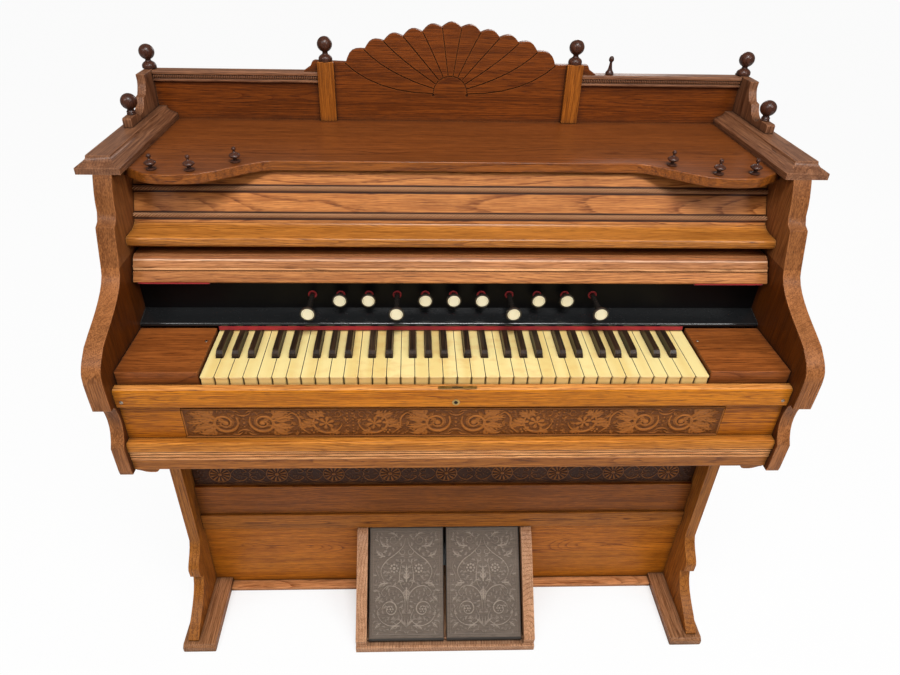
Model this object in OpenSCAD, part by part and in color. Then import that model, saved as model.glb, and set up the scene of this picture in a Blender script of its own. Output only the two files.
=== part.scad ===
// Pump organ (reed organ), 61 notes, built as separate pieces.
// Millimetres. +Z up, the front faces -Y, +X to the player's right.
// The working drawing has y = 0 at the front of the white keys; place() moves it to the frame.

/* [Case] */
// clear width between the two sides
case_in = 1128; // [1120:1:1140]
// thickness of the side boards above the shoulder
side_t = 31; // [28:0.5:34]
// thickness of the lower bracket of each side
bracket_t = 23; // [20:0.5:25]
// underside of the case above the floor
case_z = 569; // [560:1:580]
// top of the sides and of the shelf
top_z = 1042; // [1040:1:1048]
// distance from the key fronts to the back edge of the sides
back_y = 505; // [498:1:512]
// thickness of the case bottom board
bottom_t = 21; // [18:0.5:24]
// thickness of the back panels
back_t = 11; // [9:0.5:13]

/* [Legs and feet] */
// thickness of the leg boards
leg_t = 23; // [20:0.5:25]
// how far the outer face of a leg stands inside the bracket face
leg_in = 15; // [12:0.5:18]
// width of the sled feet
foot_w = 71; // [64:1:78]
// height of the sled feet
foot_h = 20; // [18:0.5:24]
// how far the feet reach in front of the key fronts
foot_front = 24; // [20:1:30]

/* [Top] */
// thickness of the serpentine shelf
shelf_t = 18; // [16:0.5:20]
// how far the round lobes of the shelf reach in front of its straight middle
lobe = 68; // [58:1:72]
// width of a cap
cap_w = 73; // [70:1:78]
// height of a cap
cap_h = 26; // [22:0.5:30]
// height of the low gallery boards, with their rails
gallery_h = 95; // [88:1:100]
// thickness of the gallery boards
gallery_t = 14; // [12:0.5:16]
// height of the moulded gallery rail
rail_h = 22; // [18:0.5:25]
// width of the two posts
post_w = 32; // [28:1:36]
// distance between the centres of the posts
post_gap = 490; // [480:1:500]
// height of the two posts
post_h = 115; // [110:1:120]
// diameter of the ball finials
ball_d = 29; // [25:0.5:31]

/* [Fan] */
// number of lobes of the fan
lobes = 11; // [9:2:13]
// height of the fan peak above the shelf
fan_h = 189; // [180:1:196]
// half width of the fan at the posts
fan_w = 206; // [200:1:210]
// radius of the plain hub
hub_r = 34; // [28:1:38]
// width of the grooves cut in the fan
groove_w = 2.4; // [2:0.2:4]
// depth of the grooves
groove_d = 2.2; // [1.5:0.1:4]
// diameter of the two drilled ends of the hub line
dot_d = 6; // [4:0.5:8]

/* [Fascia] */
// top height of the nose moulding under the fascia
nose_z = 940; // [937:0.5:944]
// thickness of the fascia board, measured front to back
fascia_t = 20; // [16:0.5:24]
// diameter of the rope mouldings
rope_d = 8.5; // [7:0.25:10]

/* [Keyboard] */
// pitch of the white keys
key_pitch = 23.6; // [23.3:0.05:23.6]
// gap between neighbouring white keys
key_gap = 0.9; // [0.7:0.05:1.2]
// top of the white keys above the floor
key_z = 760; // [758:0.5:762]
// thickness of a white key
key_t = 22; // [20:0.5:23]
// length of the wide head of a white key
key_head = 52; // [50:0.5:54]
// full length of a key lever
key_len = 350; // [345:1:356]
// width of a black key
sharp_w = 12.5; // [11.5:0.25:13]
// height of a black key above the white ones
sharp_h = 12; // [10:0.5:13]
// thickness of the key bed
bed_t = 22; // [18:0.5:24]
// height of the key blocks above the white keys
block_up = 8; // [6:0.5:10]

/* [Front] */
// top of the keyslip above the floor
slip_z = 746.5; // [744:0.5:749]
// height of the keyslip
slip_h = 38; // [35:0.5:40]
// thickness of the keyslip
slip_t = 14; // [12:0.5:15]
// width of the carved front panel
carved_w = 930; // [900:1:960]
// height of the moulded bottom rail
low_rail_h = 65; // [60:1:68]

/* [Stops] */
// number of stop knobs
stops = 11; // [9:1:11]
// distance between neighbouring stops
stop_pitch = 51.4; // [48:0.2:53]
// height of the stops above the floor
stop_z = 816; // [814:0.5:818]
// diameter of the knob rim
knob_d = 27.5; // [24:0.5:28]
// diameter of the ivory face
face_d = 25; // [20:0.5:25]
// diameter of the stem
stem_d = 10; // [9:0.25:12]
// how far a stop draws out
draw = 44; // [36:1:46]

/* [Fall] */
// thickness of the fall board
fall_t = 10; // [8:0.5:10]
// slope of the closed fall, which it turns through to open
fall_angle = 32; // [31:0.5:33]
// thickness of the front rail of the fall
fall_rail_t = 14; // [12:0.5:14]

/* [Knee front] */
// underside of the middle rail above the floor
knee_rail_z = 206; // [203:1:214]
// height of the middle rail
knee_rail_h = 44; // [38:1:50]
// height of the plain upper panel
knee_up_h = 86; // [78:1:92]
// thickness of the knee panels
knee_t = 14; // [12:0.5:16]
// height of the floor moulding
floor_rail_h = 10; // [8:0.5:14]

/* [Treadles] */
// width of a treadle
treadle_w = 168; // [160:1:169]
// gap between the two treadles
treadle_gap = 7; // [6:0.5:9]
// thickness of a treadle board with its cover
treadle_t = 14; // [12:0.5:16]
// length of a treadle
treadle_len = 240; // [232:1:240]
// slope of a treadle at rest
treadle_angle = 46.5; // [44:0.5:47]
// thickness of the side boards of the treadle frame
frame_t = 24; // [20:0.5:26]

/* [Bellows] */
// width of an exhauster
exh_w = 300; // [260:1:320]
// height of an exhauster
exh_h = 300; // [280:1:320]
// thickness of the bellows boards
bellows_t = 12; // [10:0.5:14]
// opening of the resting exhausters at the top
exh_open = 34; // [28:1:40]

/* [Hidden] */
w_in = case_in / 2;
side_front = 34;
y_mid = (back_y + 8 - side_front) / 2;
run = 0.3;
oak = [0.72, 0.45, 0.2];
dark = [0.45, 0.22, 0.1];
brass = [0.8, 0.65, 0.3];
ivory = [0.95, 0.9, 0.75];
black = [0.06, 0.06, 0.06];
red = [0.6, 0.08, 0.08];
cloth = [0.25, 0.22, 0.2];
$fn = 24;

// Helpers. place() shifts the drawing to the frame; slab() stands a y-z outline along x.
module place() translate([0, -y_mid, 0]) children();
module slab(x0, x1) translate([x0, 0, 0]) rotate([90, 0, 90]) linear_extrude(x1 - x0) children();
module bar(x0, x1, y0, y1, z0, z1) translate([x0, y0, z0]) cube([x1 - x0, y1 - y0, z1 - z0]);
module both() {
  children();
  mirror([1, 0, 0]) children();
}
function bez(a, b, c, d, n) = [for (i = [0:n])
  let (t = i / n, s = 1 - t) s*s*s*a + 3*s*s*t*b + 3*s*t*t*c + t*t*t*d];
function arc(c, r, a0, a1, n) = [for (i = [0:n])
  let (a = a0 + (a1 - a0) * i / n) c + r * [cos(a), sin(a)]];

// Sides: a shaped board from the cap down to the bracket under the case.
shoulder_z = slip_z - slip_h + 7;
function side_top() = concat(
  [[1 - side_front, shoulder_z], [-side_front, key_z - 12]],
  bez([-side_front, key_z + 12], [1 - side_front, key_z + 38], [-20, key_z + 46], [0, key_z + 62], 6),
  bez([24, key_z + 73], [70, key_z + 92], [110, key_z + 112], [116, key_z + 140], 7),
  [[135, nose_z + 25], [146, nose_z + 31], [153, nose_z + 44]],
  bez([156, nose_z + 62], [160, nose_z + 78], [166, nose_z + 90], [cap_y, top_z], 3));
function side_low() = concat(
  [[-29, case_z - 3], [-31, case_z + 8], [-32, case_z + 62]],
  bez([-24, case_z + 74], [-14, case_z + 92], [-12, shoulder_z - 30], [-20, shoulder_z - 6], 5),
  [[-24, shoulder_z]]);
module side_board() {
  slab(w_in, w_in + side_t) polygon(concat(side_top(), [[back_y, top_z], [back_y, shoulder_z]]));
  slab(w_in, w_in + bracket_t) polygon(concat(side_low(), [[back_y, shoulder_z], [back_y, case_z - 3]]));
  side_runner();
}
// A runner inside each side carries the open fall.
module side_runner() bar(w_in - 13, w_in, 262, 385, fall_top - fall_t - run - 12, fall_top - fall_t - run);
module side_r() color(oak) place() side_board();
module side_l() color(oak) place() mirror([1, 0, 0]) side_board();

// Legs: shaped boards under the case, standing on the sled feet.
leg_out = w_in + bracket_t - leg_in;
leg_face = 111;
function leg_edge() = concat(
  [[-11, foot_h], [-11, foot_h + 5], [-2, foot_h + 12]],
  bez([17, foot_h + 27], [50, foot_h + 45], [76, foot_h + 62], [84, foot_h + 92], 6),
  [[87, foot_h + 98], [72, foot_h + 112]],
  bez([71, foot_h + 134], [74, foot_h + 150], [100, foot_h + 158], [leg_face, foot_h + 186], 6),
  [[leg_face, case_z - 3 - run]]);
module legs() color(oak) place() both() slab(leg_out - leg_t, leg_out)
  polygon(concat(leg_edge(), [[back_y - 15, case_z - 3 - run], [back_y - 15, foot_h]]));
foot_out = leg_out + 10;
module feet() color(oak) place() both() slab(foot_out - foot_w, foot_out)
  polygon([[-foot_front, 0], [-foot_front, foot_h - 5], [-foot_front + 5, foot_h],
    [back_y - 5, foot_h], [back_y - 5, 0]]);

// Caps: moulded blocks on the sides, mitred round the front, with an ogee edge.
cap_in = w_in - 15;
cap_mid = cap_w - 31;
cap_y = 171;
function ogee(w, h) = [[0, 0], [0, h * 0.42], [w * 0.12, h * 0.46], [w * 0.3, h * 0.54],
  [w * 0.62, h * 0.66], [w * 0.8, h * 0.82], [w * 0.84, h]];
function cap_cross() = concat([for (p = ogee(23, cap_h)) p],
  [for (i = [6:-1:0]) let (p = ogee(17, cap_h)[i]) [cap_w - p[0], p[1]]]);
function cap_long() = concat([for (p = ogee(22, cap_h)) [cap_y + p[0], p[1]]],
  [[back_y, cap_h], [back_y, 0]]);
module caps() color(dark) place() both() intersection() {
  translate([cap_in, back_y + 1, top_z]) rotate([90, 0, 0]) linear_extrude(back_y) polygon(cap_cross());
  translate([0, 0, top_z]) slab(cap_in - 1, cap_in + cap_w + 1) polygon(cap_long());
}

// Shelf: a serpentine board let in between the sides.
shelf_y = 243;
function lobe_edge() = concat([[0, shelf_y]], [[300, shelf_y]],
  bez([318, shelf_y], [350, shelf_y - 4], [375, shelf_y - lobe * 0.45], [405, shelf_y - lobe * 0.72], 6),
  bez([425, shelf_y - lobe * 0.9], [450, shelf_y - lobe * 1.04],
    [495, shelf_y - lobe * 1.05], [520, shelf_y - lobe * 0.9], 6),
  [[552, shelf_y - lobe * 0.56], [w_in, shelf_y - lobe * 0.4]]);
module shelf() color(dark) place() both() translate([0, 0, top_z - shelf_t]) linear_extrude(shelf_t)
  polygon(concat(lobe_edge(), [[w_in, back_y - 10], [0, back_y - 10]]));

// Gallery: low boards behind the shelf, rails on them, scrolled ends standing on the caps.
gal_y = back_y - 21;
post_x = post_gap / 2;
end_x = cap_in + cap_mid - 8;
rail_z = top_z + gallery_h - rail_h;
module gallery_panels() color(dark) place() both() {
  translate([0, gal_y + gallery_t, 0]) rotate([90, 0, 0]) linear_extrude(gallery_t)
    polygon(concat([[post_x + post_w / 2 + run, top_z], [cap_in - run, top_z]],
      [for (i = [1:6]) let (p = ogee(23, cap_h)[i]) [cap_in + p[0] - run, top_z + p[1] + run]],
      [[end_x - run, top_z + cap_h + run], [end_x - run, rail_z], [post_x + post_w / 2 + run, rail_z]]));
}
function rail_cross() = [[gal_y - 3, 0], [gal_y - 6, 2], [gal_y - 6, 5], [gal_y - 3, 7],
  [gal_y - 3, rail_h - 9], [gal_y - 7, rail_h - 7], [gal_y - 7, rail_h - 3], [gal_y - 5, rail_h],
  [gal_y + gallery_t + 3, rail_h], [gal_y + gallery_t + 3, 0]];
module gallery_rails() color(dark) place() both()
  translate([0, 0, rail_z]) slab(post_x + post_w / 2 + run, end_x - run) polygon(rail_cross());
end_h = 70;
function end_edge() = concat([[336, 0], [336, 14], [340, 17], [372, 17], [376, 12]],
  bez([384, 9], [408, 12], [410, 26], [414, 34], 5), [[426, 36], [431, 42], [436, 50], [439, 58], [438,
    end_h]]);
module gallery_ends() color(dark) place() both() translate([0, 0, top_z + cap_h])
  slab(end_x, end_x + 16) polygon(concat(end_edge(), [[back_y + 8, end_h], [back_y + 8, 40], [back_y, 30],
    [back_y, 0]]));
module gallery_posts() color(oak) place() both() translate([post_x - post_w / 2, gal_y - 10, top_z])
  cube([post_w, 10 - run, post_h]);

// Fan board: scalloped crest with graduated grooves that curve down to a plain hub.
hub_z = top_z + 55;
fan_slope = 0.2325;
function crest(x) = let (o = max(0, abs(x) - fan_w * 0.6)) fan_h - 60.4 - fan_slope * abs(x) - o * o / 296;
function fan_pt(k) = let (x = fan_w * (2 * k / lobes - 1)) [x, crest(x)];
function lobe_arc(k) = let (p = fan_pt(k), q = fan_pt(k + 1), d = q - p, n = norm(d))
  [for (i = [1:5]) p + d * i / 6 + [-d[1], d[0]] * 0.24 * sin(30 * i)];
function fan_edge() = [for (k = [0:lobes - 1]) each concat([fan_pt(k)], lobe_arc(k))];
ear_x = post_x + post_w / 2;
function ear() = concat([[ear_x, 0], [ear_x, gallery_h + run], [ear_x + 28, gallery_h + run]],
  bez([ear_x + 18, gallery_h + 7], [ear_x + 12, gallery_h + 6], [ear_x + 14, post_h], [ear_x + 6, post_h],
    4));
function board_edge() = concat([for (p = ear()) [-p[0], p[1]]],
  [for (p = fan_edge()) [p[0], p[1] + hub_z - top_z]],
  [[-fan_pt(0)[0], fan_pt(0)[1] + hub_z - top_z]],
  [for (i = [6:-1:0]) ear()[i]]);
// Centre line of groove k: it leaves the hub squarely and ends in the valley between two lobes.
function groove_line(k) = let (a = 180 * k / lobes, u = [-cos(a), sin(a)], p = fan_pt(k),
  m = u * (hub_r + norm(p)) * 0.6)
  [for (i = [0:6]) let (t = i / 6, s = 1 - t) s*s*u*hub_r + 2*s*t*m + t*t*p*1.02];
function side_step(l, i) = let (d = l[min(i + 1, 6)] - l[max(i - 1, 0)]) [-d[1],
  d[0]] / norm(d) * groove_w / 2;
module groove(k) {
  l = groove_line(k);
  polygon(concat([for (i = [0:6]) l[i] + side_step(l, i)], [for (i = [6:-1:0]) l[i] - side_step(l, i)]));
}
// The hub is outlined by a half round groove that ends in a drilled hole on each side.
module hub_line() polygon(concat(arc([0, 0], hub_r + groove_w / 2, 0, 180, 20),
  arc([0, 0], hub_r - groove_w / 2, 180, 0, 20)));
module fan_board() color(dark) place() difference() {
  translate([0, gal_y + gallery_t, top_z]) rotate([90, 0, 0]) linear_extrude(gallery_t) polygon(board_edge());
  translate([0, gal_y + groove_d, hub_z]) rotate([90, 0, 0]) linear_extrude(groove_d + 1) {
    for (k = [0:lobes]) groove(k);
    hub_line();
  }
  both() translate([hub_r, gal_y + groove_d + 0.8, hub_z - 3]) rotate([90, 0, 0])
    cylinder(d = dot_d, h = groove_d + 2, $fn = 14);
}

// Turned finials: six balls, six small ones on the shelf and one on the right rail.
// h is the height of the ball's centre and b the width of the turned base, in balls.
function ball_turn(r, h, b) = let (s = h - r * 0.913) concat(
  [[0, 0], [r * b, 0], [r * b, s * 0.3], [r * b * 0.84, s * 0.5], [r * (b + 0.3) * 0.42, s * 0.68],
    [r * 0.36, s * 0.8]],
  [for (i = [0:7]) let (a = -66 + 156 * i / 7) [i == 7 ? 0 : r * cos(a), h + r * sin(a)]]);
module ball(h, b) rotate_extrude($fn = 20) polygon(ball_turn(ball_d / 2, h, b));
module ball_finials() color(dark) place() both() {
  translate([post_x, gal_y - 5 + gallery_t / 2, top_z + post_h]) ball(31, 0.92);
  translate([end_x + 8, 364, top_z + cap_h + 17]) ball(23, 0.56);
  translate([end_x + 8, back_y - 10, top_z + cap_h + end_h]) ball(30, 0.92);
}
module pin_turn(h, r) rotate_extrude($fn = 14)
  polygon([[0, 0], [r * 0.8, 0], [r * 0.8, h * 0.08], [r * 0.3, h * 0.14], [r * 0.35, h * 0.26], [r * 0.7,
    h * 0.32],
    [r, h * 0.42], [r, h * 0.46], [r * 0.6, h * 0.57], [r * 0.22, h * 0.64], [r * 0.18, h * 0.72],
    [r * 0.38, h * 0.8], [r * 0.38, h * 0.91], [0, h]]);
module rail_pin() rotate_extrude($fn = 14)
  polygon([[0, 0], [8, 0], [8, 4], [5, 8], [3.2, 16], [2.4, 22], [4.6, 26], [5, 29], [3.5, 33], [0, 35]]);
module shelf_finials() color(dark) place() {
  both() {
    translate([509, shelf_y - lobe * 0.66, top_z]) pin_turn(27, 10);
    translate([445, shelf_y - lobe * 0.7, top_z]) pin_turn(27, 10);
    translate([379, shelf_y - lobe * 0.1, top_z]) pin_turn(27, 10);
  }
  translate([318, gal_y + gallery_t / 2, top_z + gallery_h]) rail_pin();
}

// Fascia: a board leaning back under the shelf, two rope mouldings, a nose moulding below.
lean = 0.52;
function face_y(z) = 210 + (z - nose_z) * lean;
shelf_under = top_z - shelf_t;
ropes = [shelf_under - 31, nose_z + 11];
module fascia() color(oak) place() {
  slab(-w_in, w_in) polygon([[face_y(nose_z), nose_z], [face_y(shelf_under), shelf_under],
    [face_y(shelf_under) + fascia_t, shelf_under], [face_y(nose_z) + fascia_t, nose_z]]);
  for (z = ropes) translate([-w_in, face_y(z), z]) rotate([0, 90, 0])
    cylinder(d = rope_d, h = case_in, $fn = 12);
}
module fascia_nose() color(oak) place() slab(-w_in, w_in)
  polygon(concat([[185, nose_z - 25]], arc([168, nose_z - 19], 6, 270, 180, 4), arc([168, nose_z - 13], 6,
    180, 90, 4),
    [[180, nose_z - 7]], bez([190, nose_z - 7], [200, nose_z - 6], [207, nose_z - 4], [209, nose_z], 4),
    [[209 + fascia_t, nose_z], [209 + fascia_t, nose_z - 18], [188, nose_z - 18]]));

// Back: one panel behind the case, one behind the bellows.
module back_panels() color(oak) place() {
  bar(-w_in, w_in, back_y - 10 - back_t, back_y - 10, case_z + bottom_t, shelf_under);
  bar(-leg_out + leg_t, leg_out - leg_t, back_y - 16 - back_t, back_y - 16, foot_h, case_z);
}

// Case bottom, with slots that let the bellows draw wind from the reed chest.
module case_bottom() color(oak) place() difference() {
  bar(-w_in, w_in, 0, back_y - 10, case_z, case_z + bottom_t);
  for (x = [-300, 300]) bar(x - 60, x + 60, 318, 340, case_z - 1, case_z + bottom_t + 1);
}

// Front of the case under the keys.
slip_y = -2;
panel_z = case_z + low_rail_h;
panel_top = slip_z - slip_h;
module keyslip() color(oak) place() slab(-w_in, w_in)
  polygon(concat([[slip_y - slip_t + 1.5, panel_top]], [[slip_y - slip_t, panel_top + 2]],
    arc([slip_y - slip_t + 6, slip_z - 6], 6, 180, 90, 4), [[slip_y, slip_z], [slip_y, panel_top]]));
module front_panel() color(oak) place() difference() {
  bar(-w_in, w_in, -8, 8, panel_z, panel_top);
  bar(-carved_w / 2, carved_w / 2, -9, -3, panel_z - 1, panel_top - 8);
}
module carved_panel() color(oak) place() bar(-carved_w / 2, carved_w / 2, -9.5, -3, panel_z, panel_top - 8);
// The bottom rail, with a small ogee cleat glued under each of its ends.
cleat_h = 12;
cleat_w = 46;
module cleat() translate([w_in, -1, case_z]) rotate([90, 0, 0]) linear_extrude(14)
  polygon(concat([[0, 1], [0, -cleat_h * 0.5]], bez([0, -cleat_h * 0.5], [-8, -cleat_h * 0.5], [-14,
    -cleat_h], [-22, -cleat_h], 4),
    bez([-cleat_w + 14, -cleat_h], [-cleat_w + 6, -cleat_h], [-cleat_w + 8, -2], [-cleat_w, -2], 4),
      [[-cleat_w, 1]]));
module bottom_rail() color(oak) place() {
  both() cleat();
  rail_board();
}
module rail_board() slab(-w_in, w_in)
  polygon(concat([[0, case_z], [-19, case_z], [-21, case_z + 2]], [[-21, case_z + low_rail_h * 0.36]],
    [[-22.5, case_z + low_rail_h * 0.4], [-22.5, case_z + low_rail_h * 0.46], [-20.5,
      case_z + low_rail_h * 0.48],
    [-22.5, case_z + low_rail_h * 0.5], [-22.5, case_z + low_rail_h * 0.56], [-20.5,
      case_z + low_rail_h * 0.58],
    [-22.5, case_z + low_rail_h * 0.6], [-22.5, case_z + low_rail_h * 0.66], [-20.5,
      case_z + low_rail_h * 0.68]],
    [[-24, case_z + low_rail_h * 0.7], [-24, panel_z - 4], [-21, panel_z], [0, panel_z]]));

// Knee front between the legs.
knee_x = leg_out - leg_t;
knee_y = 142;
open_x = treadle_w + treadle_gap / 2 + 4;
frame_x = open_x + frame_t;
knee_top = knee_rail_z + knee_rail_h;
module knee_panels() color(oak) place() {
  bar(-knee_x, knee_x, knee_y + 14, knee_y + 14 + knee_t, knee_top + knee_up_h, case_z);
  bar(-knee_x, knee_x, knee_y + 6, knee_y + 6 + knee_t, knee_top, knee_top + knee_up_h);
  both() bar(frame_x + run, knee_x, knee_y + 6, knee_y + 6 + knee_t, foot_h, knee_rail_z);
  both() bar(frame_x + run, foot_out - foot_w - run, knee_y + 6, knee_y + 6 + knee_t, 0, foot_h);
}
module knee_rails() color(oak) place() {
  bar(-knee_x, knee_x, knee_y, knee_y + 20, knee_rail_z, knee_top);
  both() bar(frame_x + run, foot_out - foot_w, 125, knee_y + 6, 0, floor_rail_h);
}

// Key bed with its rails, key blocks and the felt under the name board.
bed_z = key_z - key_t - 22;
key_pivot = key_len - 20;
module key_bed() color(oak) place() {
  difference() {
    bar(-w_in, w_in, 8, key_len + 20, bed_z - bed_t, bed_z);
    bar(-430, 430, 186, 206, bed_z - bed_t - 1, bed_z + 1);
  }
  bar(-426, 426, 12, 34, bed_z, key_z - key_t - 11);
  bar(-426, 426, key_pivot - 2, key_pivot + 16, bed_z, key_z - key_t - run);
}
key_x0 = -18 * key_pitch;
block_in = 18 * key_pitch + 2;
module key_blocks() color(dark) place() both() bar(block_in, w_in - run, 3, 133, bed_z, key_z + block_up);

// White keys: a wide head, a tail cut back for the black keys. Key k counts from the left.
// cut_l and cut_r tell whether a black key stands on that side.
function cut_r(k) = let (m = (k + 3) % 7) (m != 2 && m != 6 && k < 35);
function cut_l(k) = let (m = (k + 3) % 7) (m != 3 && m != 0 && k > 0);
tail_cut = sharp_w / 2 + 0.7;
// The outer black keys of each group stand off the middle of the gap, as on every keyboard.
function sharp_off(k) = let (m = (k + 3) % 7) m == 3 ? -3.6 : m == 5 ? 3.6 : m == 0 ? -2.8 : m == 1 ? 2.8 : 0;
module natural(k) {
  x0 = key_x0 + k * key_pitch + key_gap / 2;
  x1 = x0 + key_pitch - key_gap;
  l = cut_l(k) ? key_x0 + k * key_pitch + sharp_off(k - 1) + tail_cut : x0;
  r = cut_r(k) ? key_x0 + (k + 1) * key_pitch + sharp_off(k) - tail_cut : x1;
  translate([0, 0, key_z - key_t]) linear_extrude(key_t)
    polygon([[x0, 0], [x1, 0], [x1, key_head], [r, key_head], [r, key_len], [l, key_len],
      [l, key_head], [x0, key_head]]);
}
function sharp_x(k) = key_x0 + (k + 1) * key_pitch + sharp_off(k);
module sharp(k) slab(sharp_x(k) - sharp_w / 2, sharp_x(k) + sharp_w / 2)
  polygon([[key_head + 2, key_z - key_t], [key_head + 2, key_z + 3], [key_head + 8, key_z + sharp_h],
    [131, key_z + sharp_h], [131, key_z], [key_len, key_z], [key_len, key_z - key_t]]);
playing = [18, 19, 20, 21, 22];
function static_natural(k) = k != 18 && k != 19 && k != 20 && k != 21 && k != 22;
module naturals() color(ivory) place() for (k = [0:35]) if (static_natural(k)) natural(k);
module sharps() color(black) place() for (k = [0:34]) if (cut_r(k) && k != 18 && k != 19) sharp(k);
module key_c() color(ivory) place() natural(18);
module key_c_sharp() color(black) place() sharp(18);
module key_d() color(ivory) place() natural(19);
module key_d_sharp() color(black) place() sharp(19);
module key_e() color(ivory) place() natural(20);
module key_f() color(ivory) place() natural(21);
module key_g() color(ivory) place() natural(22);

// Black boards behind the keys, felts, and the stops that pass through them.
board_y = 171;
name_top = 787;
module name_board() color(black) place() slab(-w_in + run, w_in - run)
  polygon(concat([[150, key_z + 7.5], [137, key_z + 7.5]], arc([139, key_z + 12], 5, 240, 110, 5),
    [[board_y, name_top], [board_y + 12, name_top], [board_y + 12, name_top - 12], [board_y,
      name_top - 12]]));
hole_d = stem_d + 0.9;
function stop_x(i) = (i - (stops - 1) / 2) * stop_pitch;
module stop_board() color(black) place() difference() {
  bar(-w_in + run, w_in - run, board_y, board_y + 12, name_top, stop_z + 46);
  for (i = [0:stops - 1]) translate([stop_x(i), board_y - 1, stop_z]) rotate([-90, 0, 0])
    cylinder(d = hole_d, h = 14);
}
module felts() color(red) place() {
  bar(key_x0 + 1, -key_x0 - 1, 137, 149, key_z + 2.5, key_z + 7.5);
  for (i = [0:stops - 1]) translate([stop_x(i), board_y, stop_z]) rotate([90, 0, 0]) difference() {
    cylinder(d = stem_d + 6, h = 2);
    translate([0, 0, -1]) cylinder(d = hole_d, h = 4);
  }
}
module stop_knob(i, out) color(black) place() translate([stop_x(i), board_y - 24 - out,
  stop_z]) rotate([-90, 0, 0]) {
  rotate_extrude($fn = 20) polygon([[0, 0], [face_d / 2, 0], [knob_d / 2, 1], [knob_d / 2, 5], [face_d / 2,
    7],
    [stem_d / 2 + 2, 12], [stem_d / 2 + 2, 15], [stem_d / 2, 17], [stem_d / 2, 112], [0, 112]]);
}
module stop_1() stop_knob(0, draw);
module stop_2() stop_knob(1, 0);
module stop_3() stop_knob(2, 0);
module stop_4() stop_knob(3, draw);
module stop_5() stop_knob(4, 0);
module stop_6() stop_knob(5, 0);
module stop_7() stop_knob(6, 0);
module stop_8() stop_knob(7, draw);
module stop_9() stop_knob(8, 0);
module stop_10() stop_knob(9, 0);
module stop_11() stop_knob(10, draw);

// Fall: a thin board with a moulded front rail, pushed back under the fascia.
fall_x = w_in - 3;
fall_y = 142;
fall_z = 856.6;
fall_h = 48;
fall_back = 378;
function lean_pt(a, b) = [fall_y + a * cos(fall_angle) + b * sin(fall_angle),
  fall_z - a * sin(fall_angle) + b * cos(fall_angle)];
fall_top = fall_z + fall_h * cos(fall_angle);
module fall() color(dark) place() {
  slab(-fall_x, fall_x) polygon([lean_pt(2.6, 0), lean_pt(0.8, 1.8), lean_pt(0.8, 19.5), lean_pt(3, 20.3),
    lean_pt(3, 21.2), lean_pt(0.4, 22), lean_pt(0.4, 25.8), lean_pt(-1, 27), lean_pt(-1, 30), lean_pt(0.4,
      31.2),
    lean_pt(0, fall_h - 9), lean_pt(0.8, fall_h - 4), lean_pt(3, fall_h),
    lean_pt(fall_rail_t, fall_h - 8), lean_pt(fall_rail_t, 5), lean_pt(fall_rail_t - 5, 0)]);
  bar(-fall_x, fall_x, fall_y + 29, fall_back, fall_top - fall_t, fall_top);
}

// Treadle frame on the floor and the two treadles hinged on a rod at its front edge.
hinge_y = -11;
hinge_z = 19.5;
rod_d = 6;
knuckle_d = 12;
ta = treadle_angle;
cover_t = 4;
under = -knuckle_d / 2 - 1;
upper = under + treadle_t;
// A point on a treadle at rest: s up the slope from the rod, n square to it.
function ramp(s, n) = [hinge_y + s * cos(ta) - n * sin(ta), hinge_z + s * sin(ta) + n * cos(ta)];
module treadle_frame() color(oak) place() {
  bar(-frame_x, frame_x, -31, knee_y + 40, 0, 12);
  bar(-frame_x, frame_x, -31, -25, 12, 17);
  both() slab(open_x, frame_x) polygon([[-25, 12], [-25, 22], ramp(0, upper + 16), ramp(205, upper + 16),
    [knee_y - 1, knee_rail_z - 1], [knee_y + 40, knee_rail_z - 1], [knee_y + 40, 12]]);
  translate([-open_x - 1, hinge_y, hinge_z]) rotate([0, 90, 0]) cylinder(d = rod_d, h = 2 * open_x + 2);
}
module plate(n0, n1, w, s0) slab(-w / 2, w / 2)
  polygon([ramp(s0, n1), ramp(treadle_len, n1), ramp(treadle_len, n0), ramp(s0, n0)]);
module treadle(s) translate([s * (treadle_w + treadle_gap) / 2, 0, 0]) {
  difference() {
    union() {
      plate(under, upper - cover_t, treadle_w, 0);
      translate([-treadle_w / 2, hinge_y, hinge_z]) rotate([0, 90, 0]) cylinder(d = knuckle_d, h = treadle_w);
    }
    translate([-treadle_w, hinge_y, hinge_z]) rotate([0, 90, 0]) cylinder(d = rod_d + 0.12,
      h = 2 * treadle_w);
  }
  plate(upper - cover_t, upper, treadle_w, 0);
}
module treadle_l() color(cloth) place() treadle(-1);
module treadle_r() color(cloth) place() treadle(1);

// Bellows: a standing board, two exhausters before it, the reservoir behind it.
bel_y = 318;
bel_back = 22;
exh_z = 60;
exh_in = 16;
exh_a = atan(exh_open / exh_h);
strap_y = 206;
module bellows_board() color(oak) place() {
  difference() {
    bar(-knee_x, knee_x, bel_y, bel_y + bel_back, 40, case_z);
    both() for (x = [80, 160, 240]) translate([x, bel_y - 1, exh_z + 90]) rotate([-90, 0, 0])
      cylinder(d = 26, h = bel_back + 2, $fn = 16);
  }
  bar(-knee_x, knee_x, strap_y, strap_y + 18, 322, 340);
}
module exhauster(s) translate([s * (exh_w / 2 + exh_in), bel_y - 1, exh_z]) rotate([exh_a, 0, 0])
  translate([-exh_w / 2, -bellows_t, 0]) cube([exh_w, bellows_t, exh_h]);
module exhauster_l() color(oak) place() exhauster(-1);
module exhauster_r() color(oak) place() exhauster(1);
res_a = 9;
res_h = 440;
res_w = 840;
module reservoir() color(oak) place() translate([-res_w / 2, bel_y + bel_back + 1, exh_z])
  rotate([-res_a, 0, 0]) cube([res_w, bellows_t, res_h]);
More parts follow.
